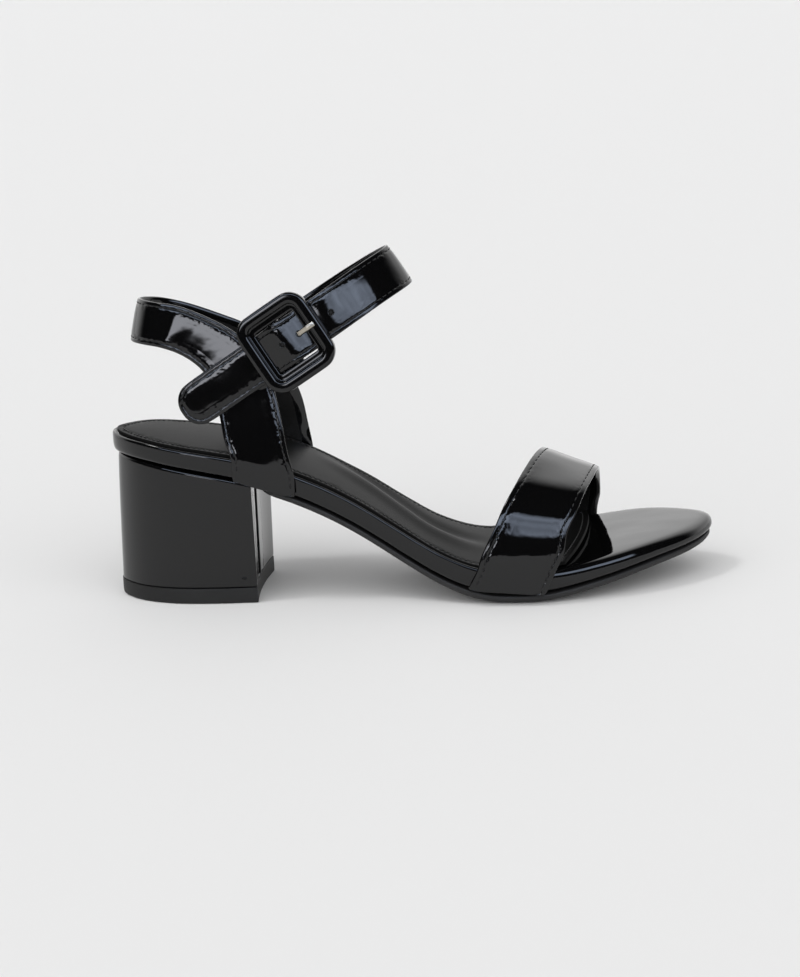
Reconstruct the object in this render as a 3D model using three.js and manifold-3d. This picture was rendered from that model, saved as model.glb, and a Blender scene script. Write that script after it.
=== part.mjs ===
// Block heel sandal, right foot, in millimetres
// +X points to the toe, +Y to the inner side of the foot, +Z up.
// The origin is on the floor, in the middle of the heel's ground face.

import * as THREE from 'three';
import { mergeVertices } from 'three/addons/utils/BufferGeometryUtils.js';
import Module from 'manifold-3d';

const wasm = await Module();
wasm.setup();

// Driving sizes of the sole
const shoeLength = 244;
const backOverhang = 31;
const ballWidth = 78;
const seatHeight = 61.2;
const toeSpring = 14.2;
const boardThickness = 9.8;
const soleThickness = 3.8;
const clearance = 0.3;
const beadWidth = 1.7;
const beadRise = 1.2;
const toeRounding = 4.2;
const boardUnderRounding = 1.1;
const outsoleInset = 0.9;
const treadRounding = 2.4;
const treadFlat = 0.45;
const outsoleTopRounding = 0.6;
const sockThickness = 1.4;
const sockRounding = 0.6;
const sockClearance = 0.55;
const sockMargin = 2.3;
const sockCrown = 0.7;
const sockEndOuter = 0.748;
const sockEndInner = 0.793;
const sockBow = 3.5;

// Driving sizes of the heel
const breastOuter = 27.5;
const breastInner = 29.7;
const breastHollow = 1.5;
const heelTopBackInset = 1.7;
const heelTopCornerInset = 0.9;
const heelBackInset = 0.25;
const heelCornerInset = 4.6;
const heelTopRounding = 1.6;
const tipThickness = 6.5;
const tipRounding = 0.9;
const tipProud = 0.25;
const heelWaist = 0.45;

// Driving sizes of the straps
const strapThickness = 2;
const vampThickness = 2.2;
const strapCrown = 0.3;
const edgeRounding = 0.5;
const vampRise = 45;
const ankleReach = 64;
const slingRise = 57.5;
const vampFootGap = 0.45;
const vampFootLean = 4.5;
const vampBackOuter = 0.604;
const vampFrontOuter = 0.733;
const vampBackInner = 0.7;
const vampFrontInner = 0.811;
const quarterBackOuter = 0.211;
const quarterFrontOuter = 0.313;
const quarterBackInner = 0.223;
const quarterFrontInner = 0.325;
const rootSunk = 0.4;
const ankleWidth = 43.6;
const ankleStrapWidth = 18;
const ankleLean = 0.19;
const loopLength = 51;
const loopDrop = 1.8;
const strapEnd = 50.5;
const layerGap = 0.5;

// Driving sizes of the buckle
const buckleForward = 44.4;
const buckleAboveSeat = 41.5;
const strapSlope = 32.5;
const frameLength = 30.6;
const frameWidth = 33;
const frameBar = 4.6;
const frameHeight = 3.4;
const frameCorner = 7.5;
const frameShift = 0.6;
const openingCorner = 4.3;
const bevelShare = 0.36;
const postMargin = 0.3;
const barRadius = 1;
const tabBelow = 10.4;
const tabAbove = 7.5;
const tabLength = 25;
const loopWall = 1;
const prongWidth = 2;
const prongThickness = 1.3;
const prongSlot = 3;
const prongBack = 1.5;
const notchDepth = 1;
const holeNear = 3.2;
const holeFar = 8;

const stationCount = 36;

// Where one point halfway round a rounded edge lies, as a share of its radius
const arcShare = 0.3;

// Outline of the board: along is a share of the length from the back, the two half widths are
// shares of the ball width from the line through the heel's middle
const outlineRows = [
  { along: 0, lateral: 0, medial: 0 },
  { along: 0.013, lateral: 0.118, medial: 0.118 },
  { along: 0.05, lateral: 0.24, medial: 0.25 },
  { along: 0.11, lateral: 0.325, medial: 0.338 },
  { along: 0.2, lateral: 0.364, medial: 0.367 },
  { along: 0.3, lateral: 0.372, medial: 0.344 },
  { along: 0.4, lateral: 0.388, medial: 0.306 },
  { along: 0.5, lateral: 0.423, medial: 0.3 },
  { along: 0.6, lateral: 0.472, medial: 0.378 },
  { along: 0.7, lateral: 0.49, medial: 0.478 },
  { along: 0.78, lateral: 0.456, medial: 0.516 },
  { along: 0.86, lateral: 0.36, medial: 0.495 },
  { along: 0.92, lateral: 0.23, medial: 0.43 },
  { along: 0.965, lateral: 0.095, medial: 0.335 },
  { along: 0.99, lateral: -0.035, medial: 0.25 },
  { along: 1, lateral: -0.154, medial: 0.154 },
];

// Side view of the sole: lift is a share of the seat height, spring of the toe spring, board and
// sole are shares of the two thicknesses
const profileRows = [
  { along: 0, lift: 1.004, spring: 0, board: 0.83, sole: 0.84 },
  { along: 0.05, lift: 0.976, spring: 0, board: 0.82, sole: 0.84 },
  { along: 0.11, lift: 0.933, spring: 0, board: 0.84, sole: 0.84 },
  { along: 0.2, lift: 0.863, spring: 0, board: 0.88, sole: 0.84 },
  { along: 0.25, lift: 0.808, spring: 0, board: 0.92, sole: 0.84 },
  { along: 0.3, lift: 0.735, spring: 0, board: 0.94, sole: 0.86 },
  { along: 0.36, lift: 0.618, spring: 0, board: 0.97, sole: 0.91 },
  { along: 0.42, lift: 0.473, spring: 0, board: 0.98, sole: 0.96 },
  { along: 0.48, lift: 0.3, spring: 0, board: 1, sole: 1 },
  { along: 0.54, lift: 0.138, spring: 0, board: 1, sole: 1 },
  { along: 0.6, lift: 0.033, spring: 0, board: 1, sole: 1 },
  { along: 0.66, lift: -0.006, spring: 0, board: 1, sole: 1 },
  { along: 0.72, lift: 0, spring: 0.06, board: 0.96, sole: 1 },
  { along: 0.8, lift: 0, spring: 0.33, board: 0.86, sole: 0.98 },
  { along: 0.9, lift: 0, spring: 0.69, board: 0.73, sole: 0.95 },
  { along: 1, lift: 0, spring: 1, board: 0.62, sole: 0.9 },
];

// Vamp strap from the outer to the inner side of the foot. back and front are shares of the shoe's
// length, out is a share of half the ball width, and rise a share of the vamp's rise over the board.
const vampRows = [
  { back: 0.606, backOut: -0.972, backRise: 0.15, front: 0.74, frontOut: -0.99, frontRise: 0.16 },
  { back: 0.633, backOut: -0.936, backRise: 0.385, front: 0.752, frontOut: -0.962, frontRise: 0.333 },
  { back: 0.649, backOut: -0.846, backRise: 0.562, front: 0.768, frontOut: -0.859, frontRise: 0.493 },
  { back: 0.668, backOut: -0.705, backRise: 0.713, front: 0.784, frontOut: -0.667, frontRise: 0.638 },
  { back: 0.683, backOut: -0.513, backRise: 0.808, front: 0.798, frontOut: -0.397, frontRise: 0.705 },
  { back: 0.7, backOut: -0.256, backRise: 0.892, front: 0.807, frontOut: -0.103, frontRise: 0.712 },
  { back: 0.712, backOut: 0.026, backRise: 0.895, front: 0.811, frontOut: 0.205, frontRise: 0.656 },
  { back: 0.716, backOut: 0.308, backRise: 0.832, front: 0.813, frontOut: 0.5, frontRise: 0.557 },
  { back: 0.715, backOut: 0.564, backRise: 0.702, front: 0.815, frontOut: 0.744, frontRise: 0.415 },
  { back: 0.711, backOut: 0.769, backRise: 0.529, front: 0.816, frontOut: 0.923, frontRise: 0.262 },
  { back: 0.705, backOut: 0.923, backRise: 0.262, front: 0.813, frontOut: 1.033, frontRise: 0.151 },
];

// Quarters and sling, from the outer quarter round the heel to the inner one. x is a share of the
// ankle's reach from the heel's middle, rise a share of the sling's rise over the seat. Edge a is the
// rear and lower one, edge b the front and upper one. out is given where the band turns round the
// heel, as a share of half the ankle's width.
const rearRows = [
  { ax: 0.282, aRise: 0.061, bx: 0.675, bRise: -0.026, side: -1, blend: 0.62 },
  { ax: 0.261, aRise: 0.2, bx: 0.653, bRise: 0.139, side: -1 },
  { ax: 0.236, aRise: 0.348, bx: 0.623, bRise: 0.322, side: -1 },
  { ax: 0.2, aRise: 0.461, bx: 0.581, bRise: 0.487, side: -1 },
  { ax: 0.15, aRise: 0.541, bx: 0.512, bRise: 0.643, side: -1 },
  { ax: 0.081, aRise: 0.605, bx: 0.4, bRise: 0.774, side: -1 },
  { ax: -0.005, aRise: 0.657, bx: 0.203, bRise: 0.899, side: -1 },
  { ax: -0.102, aRise: 0.692, bx: 0.016, bRise: 0.979, side: -1 },
  { ax: -0.211, aRise: 0.704, aOut: 0.59, bx: -0.128, bRise: 1, bOut: 0.55, side: -1 },
  { ax: -0.28, aRise: 0.704, aOut: 0.33, bx: -0.207, bRise: 1.005, bOut: 0.32, side: -1 },
  { ax: -0.31, aRise: 0.7, aOut: 0, bx: -0.246, bRise: 1, bOut: 0, side: 1 },
  { ax: -0.28, aRise: 0.69, aOut: 0.33, bx: -0.207, bRise: 0.985, bOut: 0.32, side: 1 },
  { ax: -0.211, aRise: 0.67, aOut: 0.59, bx: -0.128, bRise: 0.96, bOut: 0.55, side: 1 },
  { ax: -0.102, aRise: 0.635, bx: 0.016, bRise: 0.905, side: 1 },
  { ax: -0.005, aRise: 0.593, bx: 0.203, bRise: 0.82, side: 1 },
  { ax: 0.086, aRise: 0.54, bx: 0.414, bRise: 0.704, side: 1 },
  { ax: 0.156, aRise: 0.47, bx: 0.523, bRise: 0.583, side: 1 },
  { ax: 0.219, aRise: 0.374, bx: 0.602, bRise: 0.452, side: 1 },
  { ax: 0.266, aRise: 0.252, bx: 0.656, bRise: 0.304, side: 1 },
  { ax: 0.305, aRise: 0.113, bx: 0.703, bRise: 0.148, side: 1 },
  { ax: 0.328, aRise: 0.035, bx: 0.731, bRise: -0.052, side: 1, blend: 0.62 },
];

// Course of the ankle strap in its own plane, from the inner quarter round the front of the ankle to
// the buckle. along is a share of the loop's length from the buckle's bar, across a share of the
// ankle's width from the buckle's side.
const loopRows = [
  { along: -0.487, across: 1 },
  { along: -0.28, across: 1 },
  { along: 0.08, across: 1 },
  { along: 0.325, across: 0.985 },
  { along: 0.527, across: 0.946 },
  { along: 0.69, across: 0.88 },
  { along: 0.822, across: 0.793 },
  { along: 0.919, across: 0.697 },
  { along: 0.982, across: 0.601 },
  { along: 1, across: 0.508 },
  { along: 0.982, across: 0.414 },
  { along: 0.923, across: 0.318 },
  { along: 0.832, across: 0.218 },
  { along: 0.71, across: 0.122 },
  { along: 0.568, across: 0.048 },
  { along: 0.406, across: 0.007 },
  { along: 0.3, across: 0 },
];

// A smooth value between the rows of a table, read along the turn of a half circle
function turnOf(along) {
  return Math.acos(1 - 2 * THREE.MathUtils.clamp(along, 0, 1));
}

function readTable(rows, column, along) {
  const turn = turnOf(along);
  let index = 0;
  while (index < rows.length - 2 && turnOf(rows[index + 1].along) < turn) {
    index += 1;
  }
  const before = rows[Math.max(index - 1, 0)];
  const start = rows[index];
  const end = rows[index + 1];
  const after = rows[Math.min(index + 2, rows.length - 1)];
  const span = turnOf(end.along) - turnOf(start.along);
  const share = (turn - turnOf(start.along)) / span;
  const slopeIn = slopeBetween(before, start, end, column, span);
  const slopeOut = slopeBetween(start, end, after, column, span);
  const s2 = share * share;
  const s3 = s2 * share;
  return start[column] * (2 * s3 - 3 * s2 + 1) + slopeIn * (s3 - 2 * s2 + share)
    + end[column] * (3 * s2 - 2 * s3) + slopeOut * (s3 - s2);
}

function slopeBetween(before, middle, after, column, span) {
  const reach = turnOf(after.along) - turnOf(before.along);
  return ((after[column] - before[column]) / reach) * span;
}

function xAt(along) {
  return along * shoeLength - backOverhang;
}

function alongAt(x) {
  return (x + backOverhang) / shoeLength;
}

// Heights of the sole's layers. The tread's lowest part is cut flat, so that the shoe stands on it.
const soleTopAtSeat = seatHeight - clearance;

function treadHeight(x) {
  const along = alongAt(x);
  const lift = readTable(profileRows, 'lift', along) * (soleTopAtSeat - profileRows[0].sole * soleThickness);
  const spring = readTable(profileRows, 'spring', along) * toeSpring;
  return Math.max(0, lift + spring - treadFlat);
}

function soleTop(x) {
  return treadHeight(x) + readTable(profileRows, 'sole', alongAt(x)) * soleThickness;
}

function boardBottom(x) {
  return soleTop(x) + clearance;
}

function boardTop(x) {
  return boardBottom(x) + readTable(profileRows, 'board', alongAt(x)) * boardThickness;
}

const seatTop = boardTop(xAt(0.12));

// One point of the board's outline, moved inwards by an inset
function halfWidth(along, side) {
  const column = side < 0 ? 'lateral' : 'medial';
  return side * readTable(outlineRows, column, along) * ballWidth;
}

function outlinePoint(along, side, inset) {
  const step = 0.004;
  const turn = turnOf(along);
  const turnBefore = Math.max(turn - step, 0);
  const turnAfter = Math.min(turn + step, Math.PI);
  const alongBefore = (1 - Math.cos(turnBefore)) / 2;
  const alongAfter = (1 - Math.cos(turnAfter)) / 2;
  let dx = (alongAfter - alongBefore) * shoeLength;
  const dy = halfWidth(alongAfter, side) - halfWidth(alongBefore, side);
  if (along <= 0 || along >= 1) {
    dx = 0;
  }
  const length = Math.hypot(dx, dy);
  const x = xAt(along) + (side * dy / length) * inset;
  const y = halfWidth(along, side) - (side * dx / length) * inset;
  return new THREE.Vector2(x, y);
}

// Stations of a ring between two places along the shoe. All rings share one row of stations, so that
// layers lie parallel, and it is close together at the rounded ends of the shoe.
function stations(from, to) {
  const list = [from];
  const apart = 1 / (stationCount * 6);
  for (let i = 1; i < stationCount; i += 1) {
    const along = (1 - Math.cos((Math.PI * i) / stationCount)) / 2;
    const afterStart = from === 0 || along - from > apart;
    const beforeEnd = to === 1 || to - along > apart;
    if (afterStart && beforeEnd) {
      list.push(along);
    }
  }
  list.push(to);
  return list;
}

// A ring round the shoe: the outer side from back to front, an optional arc across the front, and the
// inner side back again
function ring(plan, inset, heightAt) {
  const insetAt = typeof inset === 'function' ? inset : () => inset;
  const outer = plan.outer.map((along) => outlinePoint(along, -1, insetAt(along)));
  const inner = plan.inner.map((along) => outlinePoint(along, 1, insetAt(along)));
  if (plan.straightBack) {
    outer[0].x = xAt(plan.outer[0]);
    inner[0].x = xAt(plan.inner[0]);
  }
  if (plan.straightFront) {
    outer[outer.length - 1].x = xAt(plan.outer[plan.outer.length - 1]);
    inner[inner.length - 1].x = xAt(plan.inner[plan.inner.length - 1]);
  }
  const arc = [];
  const first = outer[outer.length - 1];
  const last = inner[inner.length - 1];
  for (let i = 1; i <= plan.arcPoints; i += 1) {
    const share = i / (plan.arcPoints + 1);
    const point = first.clone().lerp(last, share);
    point.x += plan.bow * (1 - (2 * share - 1) ** 2);
    arc.push(point);
  }
  const innerBack = inner.slice().reverse();
  if (plan.closedFront) {
    innerBack.shift();
  }
  if (plan.closedBack) {
    innerBack.pop();
  }
  return [...outer, ...arc, ...innerBack].map((p) => new THREE.Vector3(p.x, p.y, heightAt(p.x, p.y)));
}

// A closed body from a stack of rings, with its two ends closed by rungs from side to side
function stackRings(plan, rings, crownTop) {
  const points = rings.flat();
  const size = rings[0].length;
  const faces = [];
  for (let r = 0; r < rings.length - 1; r += 1) {
    for (let i = 0; i < size; i += 1) {
      const next = (i + 1) % size;
      const a = r * size + i;
      const b = r * size + next;
      faces.push([a, b, b + size], [a, b + size, a + size]);
    }
  }
  closeWithRungs(plan, points, faces, 0, size, true, 0);
  closeWithRungs(plan, points, faces, (rings.length - 1) * size, size, false, crownTop);
  return bodyFrom(points, faces);
}

// Rungs from the outer to the inner side. A crowned face gets three points on every rung.
function closeWithRungs(plan, points, faces, offset, size, facingDown, crown) {
  const shares = crown ? [0, 0.25, 0.5, 0.75, 1] : [0, 1];
  const count = plan.outer.length;
  const rows = [];
  for (let i = 0; i < count; i += 1) {
    const outerIndex = offset + i;
    const innerIndex = innerPartner(plan, i, size, offset);
    rows.push(rungIndices(points, outerIndex, innerIndex, shares, crown));
  }
  if (plan.arcPoints) {
    const front = rows[count - 1];
    const last = [front[0]];
    for (let i = 0; i < plan.arcPoints; i += 1) {
      last.push(offset + count + i);
    }
    last.push(front[front.length - 1]);
    rows[count - 1] = last;
  }
  for (let i = 0; i < count - 1; i += 1) {
    joinRows(rows[i], rows[i + 1], points, faces, facingDown);
  }
}

function innerPartner(plan, i, size, offset) {
  if (i === 0 && plan.closedBack) {
    return offset;
  }
  if (i === plan.outer.length - 1 && plan.closedFront) {
    return offset + i;
  }
  return offset + size - i - (plan.closedBack ? 0 : 1);
}

function rungIndices(points, outerIndex, innerIndex, shares, crown) {
  if (outerIndex === innerIndex) {
    return [outerIndex];
  }
  const start = points[outerIndex];
  const end = points[innerIndex];
  const middleIndices = shares.slice(1, -1).map((share) => {
    const point = start.clone().lerp(end, share);
    const width = start.distanceTo(end);
    const full = Math.min(1, width / (ballWidth / 2));
    point.z += crown * full * (1 - (2 * share - 1) ** 2);
    points.push(point);
    return points.length - 1;
  });
  return [outerIndex, ...middleIndices, innerIndex];
}

// A strip of triangles between two rows of points, whatever their counts
function joinRows(rowA, rowB, points, faces, flip) {
  let a = 0;
  let b = 0;
  while (a < rowA.length - 1 || b < rowB.length - 1) {
    const shareA = rowA.length > 1 ? (a + 1) / (rowA.length - 1) : Infinity;
    const shareB = rowB.length > 1 ? (b + 1) / (rowB.length - 1) : Infinity;
    const stepA = b >= rowB.length - 1 || (a < rowA.length - 1 && shareA <= shareB);
    const face = stepA ? [rowA[a], rowB[b], rowA[a + 1]] : [rowA[a], rowB[b], rowB[b + 1]];
    faces.push(flip ? [face[0], face[2], face[1]] : face);
    if (stepA) {
      a += 1;
    } else {
      b += 1;
    }
  }
}

function bodyFrom(points, faces) {
  const geometry = new THREE.BufferGeometry();
  const flat = points.flatMap((p) => [p.x, p.y, p.z]);
  geometry.setAttribute('position', new THREE.Float32BufferAttribute(flat, 3));
  geometry.setIndex(faces.flat());
  return turnedOutwards(geometry);
}

// Faces are turned over as a whole where the body's volume comes out negative
function turnedOutwards(geometry) {
  const position = geometry.getAttribute('position');
  const index = geometry.getIndex().array;
  const [a, b, c] = [new THREE.Vector3(), new THREE.Vector3(), new THREE.Vector3()];
  let volume = 0;
  for (let i = 0; i < index.length; i += 3) {
    a.fromBufferAttribute(position, index[i]);
    b.fromBufferAttribute(position, index[i + 1]);
    c.fromBufferAttribute(position, index[i + 2]);
    volume += a.dot(b.cross(c));
  }
  if (volume < 0) {
    const turned = [];
    for (let i = 0; i < index.length; i += 3) {
      turned.push(index[i], index[i + 2], index[i + 1]);
    }
    geometry.setIndex(turned);
  }
  return geometry;
}

// Between three.js geometry and the solids that are joined and cut
function toSolid(geometry) {
  const plain = geometry.clone();
  plain.deleteAttribute('normal');
  plain.deleteAttribute('uv');
  const merged = mergeVertices(plain, 1e-4);
  return new wasm.Manifold(new wasm.Mesh({
    numProp: 3,
    vertProperties: new Float32Array(merged.getAttribute('position').array),
    triVerts: new Uint32Array(merged.getIndex().array),
  }));
}

function toGeometry(solid) {
  const mesh = solid.getMesh();
  const geometry = new THREE.BufferGeometry();
  geometry.setAttribute('position', new THREE.BufferAttribute(mesh.vertProperties, 3));
  geometry.setIndex(new THREE.BufferAttribute(mesh.triVerts, 1));
  return geometry;
}

// Materials
const finishes = {
  patent: { color: 0x0b0b0c, roughness: 0.08, metalness: 0 },
  rubber: { color: 0x191919, roughness: 0.75, metalness: 0 },
  sock: { color: 0x1d1c1b, roughness: 0.55, metalness: 0 },
  frame: { color: 0x080808, roughness: 0.12, metalness: 0 },
  metal: { color: 0x8f8878, roughness: 0.3, metalness: 1 },
};

function named(name, geometry, finish) {
  const mesh = new THREE.Mesh(geometry, new THREE.MeshStandardMaterial(finishes[finish]));
  mesh.name = name;
  return mesh;
}

// Heel tip and heel block share one plan: the heel's rounded back and its hollowed breast
const heelStations = stations(0, alongAt(breastOuter)).slice(0, -1);
const heelPlan = {
  outer: [...heelStations, alongAt(breastOuter)],
  inner: [...heelStations, alongAt(breastInner)],
  closedBack: true,
  straightFront: true,
  arcPoints: 5,
  bow: -breastHollow,
};

function heelInset(along, topShare) {
  const share = along / alongAt(breastOuter);
  const low = THREE.MathUtils.lerp(heelBackInset, heelCornerInset, share);
  const high = THREE.MathUtils.lerp(heelTopBackInset, heelTopCornerInset, share);
  return THREE.MathUtils.lerp(low, high, topShare);
}

function makeHeelTip() {
  const insetBy = (more) => (along) => heelInset(along, 0) - tipProud + more;
  const corner = tipRounding * arcShare;
  const rings = [
    ring(heelPlan, insetBy(tipRounding), () => 0),
    ring(heelPlan, insetBy(corner), () => corner),
    ring(heelPlan, insetBy(0), () => tipRounding),
    ring(heelPlan, insetBy(0), () => tipThickness),
  ];
  return named('heel_tip', stackRings(heelPlan, rings, 0), 'rubber');
}

function makeHeelBlock() {
  const top = (x) => boardBottom(x) - clearance;
  const base = tipThickness + clearance;
  const corner = heelTopRounding * arcShare;
  const middle = (x) => (base + top(x)) / 2;
  const levels = [
    { share: 0, more: 0, height: () => base },
    { share: heelWaist, more: 0, height: middle },
    { share: 1, more: 0, height: (x) => top(x) - heelTopRounding },
    { share: 1, more: corner, height: (x) => top(x) - corner },
    { share: 1, more: heelTopRounding, height: top },
  ];
  const rings = levels.map((level) => (
    ring(heelPlan, (along) => heelInset(along, level.share) + level.more, level.height)
  ));
  return named('heel_block', stackRings(heelPlan, rings, 0), 'patent');
}

// Steps of the outsole's edge from the tread up: level is a share of its thickness, under and over are
// shares of the roundings of the lower and the upper edge
const outsoleEdgeSteps = [
  { level: 0, under: 1, over: 0 },
  { level: 0.16, under: 0.35, over: 0 },
  { level: 0.5, under: 0, over: 0 },
  { level: 0.85, under: 0, over: 0 },
  { level: 1, under: 0, over: 1 },
];

// Outsole from the breast to the toe, with its lower edge rounded
function makeOutsole() {
  const rearOuter = alongAt(breastOuter + clearance * 2);
  const rearInner = alongAt(breastInner + clearance * 2);
  const shared = stations(rearInner, 1).slice(1);
  const plan = {
    outer: [rearOuter, ...shared],
    inner: [rearInner, ...shared],
    closedFront: true,
    straightBack: true,
    arcPoints: 0,
  };
  const rings = outsoleEdgeSteps.map((step) => {
    const inset = outsoleInset + step.under * treadRounding + step.over * outsoleTopRounding;
    return ring(plan, inset, (x) => THREE.MathUtils.lerp(treadHeight(x), soleTop(x), step.level));
  });
  return named('outsole', stackRings(plan, rings, 0), 'rubber');
}

// How far the board's top has turned from the beaded edge into the rounded toe, from 0 to 1
const beadEndsAt = 0.58;
const toeStartsAt = 0.76;

function toeShare(x) {
  return THREE.MathUtils.smoothstep(alongAt(x), beadEndsAt, toeStartsAt);
}

function boardFace(x) {
  return boardTop(x) - beadRise * (1 - toeShare(x));
}

// Steps of the board's upper edge from outside to inside. The bead's inset and drop are shares of its
// width and rise, those of the rounded toe shares of its radius.
const boardEdgeSteps = [
  { beadInset: 0, beadDrop: 1.6, toeInset: 0, toeDrop: 1 },
  { beadInset: 0.07, beadDrop: 0.6, toeInset: 0.12, toeDrop: 0.5 },
  { beadInset: 0.47, beadDrop: 0, toeInset: 0.42, toeDrop: 0.18 },
  { beadInset: 0.85, beadDrop: 0.45, toeInset: 0.75, toeDrop: 0.05 },
  { beadInset: 1, beadDrop: 1, toeInset: 1.1, toeDrop: 0 },
];

function makeBoard() {
  const plan = {
    outer: stations(0, 1),
    inner: stations(0, 1),
    closedBack: true,
    closedFront: true,
    arcPoints: 0,
  };
  const rings = [
    ring(plan, boardUnderRounding, (x) => boardBottom(x)),
    ring(plan, 0, (x) => boardBottom(x) + boardUnderRounding),
  ];
  for (const step of boardEdgeSteps) {
    const inset = (along) => THREE.MathUtils.lerp(
      step.beadInset * beadWidth,
      step.toeInset * toeRounding,
      toeShare(xAt(along)),
    );
    const drop = (x) => THREE.MathUtils.lerp(
      step.beadDrop * beadRise,
      step.toeDrop * toeRounding,
      toeShare(x),
    );
    rings.push(ring(plan, inset, (x) => boardTop(x) - drop(x)));
  }
  return named('wrapped_board', stackRings(plan, rings, 0), 'patent');
}

// Sock pad lying on the board inside the bead
function makeSock() {
  const shared = stations(0, sockEndOuter).slice(0, -1);
  const plan = {
    outer: [...shared, sockEndOuter],
    inner: [...shared, sockEndInner],
    closedBack: true,
    arcPoints: 5,
    bow: sockBow,
  };
  const under = (x) => boardFace(x) + sockClearance;
  const upper = (x) => under(x) + sockThickness;
  const rings = [
    ring(plan, sockMargin, under),
    ring(plan, sockMargin, (x) => upper(x) - sockRounding),
    ring(plan, sockMargin + sockRounding, upper),
  ];
  return named('sock_pad', stackRings(plan, rings, sockCrown), 'sock');
}

// A band between two edge curves. Each row gives edge points a and b, and how far the middle bows out.
function bandSections(rows, count) {
  const curveA = new THREE.CatmullRomCurve3(rows.map((row) => row.a), false, 'centripetal');
  const curveB = new THREE.CatmullRomCurve3(rows.map((row) => row.b), false, 'centripetal');
  const bows = rows.map((row) => row.bow || 0);
  const sections = [];
  for (let i = 0; i <= count; i += 1) {
    const t = i / count;
    const place = t * (rows.length - 1);
    const low = Math.min(Math.floor(place), rows.length - 2);
    sections.push({
      a: curveA.getPoint(t),
      b: curveB.getPoint(t),
      da: curveA.getTangent(t),
      db: curveB.getTangent(t),
      bow: THREE.MathUtils.lerp(bows[low], bows[low + 1], place - low),
    });
  }
  return sections;
}

// Ten points round a strap's section: v runs from edge a to edge b, n is the height over the middle
function sectionPoints(width, thickness, crown) {
  const edge = edgeRounding / width;
  const half = thickness / 2;
  const top = (v) => half + crown * (1 - (2 * v - 1) ** 2);
  return [
    [0, 0], [edge, half], [0.25, top(0.25)], [0.5, top(0.5)], [0.75, top(0.75)], [1 - edge, half],
    [1, 0], [1 - edge, -half], [0.5, -half], [edge, -half],
  ];
}

// The end of a strap as triangles between its ten points
const bandEndFaces = [
  [0, 1, 9], [1, 8, 9], [1, 2, 8], [2, 3, 8], [3, 4, 8], [4, 7, 8], [4, 5, 7], [5, 6, 7],
];

// A closed strap through a row of sections. outwards is 1 or -1 and picks the side that is crowned.
function loftBand(sections, thickness, crown, outwards) {
  const points = [];
  const faces = [];
  const size = 10;
  for (const section of sections) {
    const across = section.b.clone().sub(section.a);
    const width = across.length();
    for (const [v, n] of sectionPoints(width, thickness, crown)) {
      const travel = section.da.clone().lerp(section.db, v);
      const normal = travel.cross(across).normalize().multiplyScalar(outwards);
      const bow = section.bow * (1 - (2 * v - 1) ** 2);
      points.push(section.a.clone().lerp(section.b, v).addScaledVector(normal, n + bow));
    }
  }
  for (let s = 0; s < sections.length - 1; s += 1) {
    for (let i = 0; i < size; i += 1) {
      const next = (i + 1) % size;
      const a = s * size + i;
      const b = s * size + next;
      faces.push([a, b, b + size], [a, b + size, a + size]);
    }
  }
  const last = (sections.length - 1) * size;
  for (const [i, j, k] of bandEndFaces) {
    faces.push([i, k, j]);
    faces.push([last + i, last + j, last + k]);
  }
  return bodyFrom(points, faces);
}

// The foot of a strap beside the board, from its underside to its top. It leans back by some way on
// its course down.
function strapFoot(backAlong, frontAlong, side, away, lean) {
  const rowAt = (heightAt, shift) => {
    const backX = xAt(backAlong) - shift;
    const frontX = xAt(frontAlong) - shift;
    const backY = halfWidth(alongAt(backX), side) + side * away;
    const frontY = halfWidth(alongAt(frontX), side) + side * away;
    const middle = halfWidth(alongAt((backX + frontX) / 2), side) + side * away;
    return {
      a: new THREE.Vector3(backX, backY, heightAt(backX)),
      b: new THREE.Vector3(frontX, frontY, heightAt(frontX)),
      bow: Math.max(0, side * (middle - (backY + frontY) / 2)) + clearance / 2,
    };
  };
  return { low: rowAt(boardBottom, lean), high: rowAt(boardTop, 0) };
}

function makeVampStrap() {
  const half = ballWidth / 2;
  const base = boardTop(xAt(vampBackInner));
  const away = vampFootGap + vampThickness / 2;
  const outer = strapFoot(vampBackOuter, vampFrontOuter, -1, away, vampFootLean);
  const inner = strapFoot(vampBackInner, vampFrontInner, 1, away, 0);
  const arch = vampRows.map((row) => ({
    a: new THREE.Vector3(xAt(row.back), row.backOut * half, base + row.backRise * vampRise),
    b: new THREE.Vector3(xAt(row.front), row.frontOut * half, base + row.frontRise * vampRise),
    bow: strapCrown,
  }));
  const rows = [outer.low, outer.high, ...arch, inner.high, inner.low];
  return named('vamp_strap', loftBand(bandSections(rows, 42), vampThickness, strapCrown, -1), 'patent');
}

// The buckle's own frame: forward runs along the ankle strap, up across it, out away from the foot
const slope = THREE.MathUtils.degToRad(strapSlope);
const strapForward = new THREE.Vector3(Math.cos(slope), 0, Math.sin(slope));
const strapUpright = new THREE.Vector3(-Math.sin(slope), 0, Math.cos(slope));
const bucklePlace = new THREE.Vector3(
  buckleForward,
  -ankleWidth / 2 - strapThickness - layerGap,
  seatTop + buckleAboveSeat,
);

function leanedUpright(inwards) {
  return strapUpright.clone().add(new THREE.Vector3(0, ankleLean * inwards, 0)).normalize();
}

const buckleUp = leanedUpright(1);
const buckleOut = strapForward.clone().cross(buckleUp).normalize();

function atBuckle(forward, up, out) {
  return bucklePlace.clone()
    .addScaledVector(strapForward, forward)
    .addScaledVector(buckleUp, up)
    .addScaledVector(buckleOut, out);
}

// Distance of the ankle's side from the middle, at a place on the side
function ankleSide(x, z) {
  const leanForward = buckleOut.x / buckleOut.y;
  const leanUp = buckleOut.z / buckleOut.y;
  return ankleWidth / 2 + leanForward * (x - bucklePlace.x) + leanUp * (z - bucklePlace.z);
}

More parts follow.
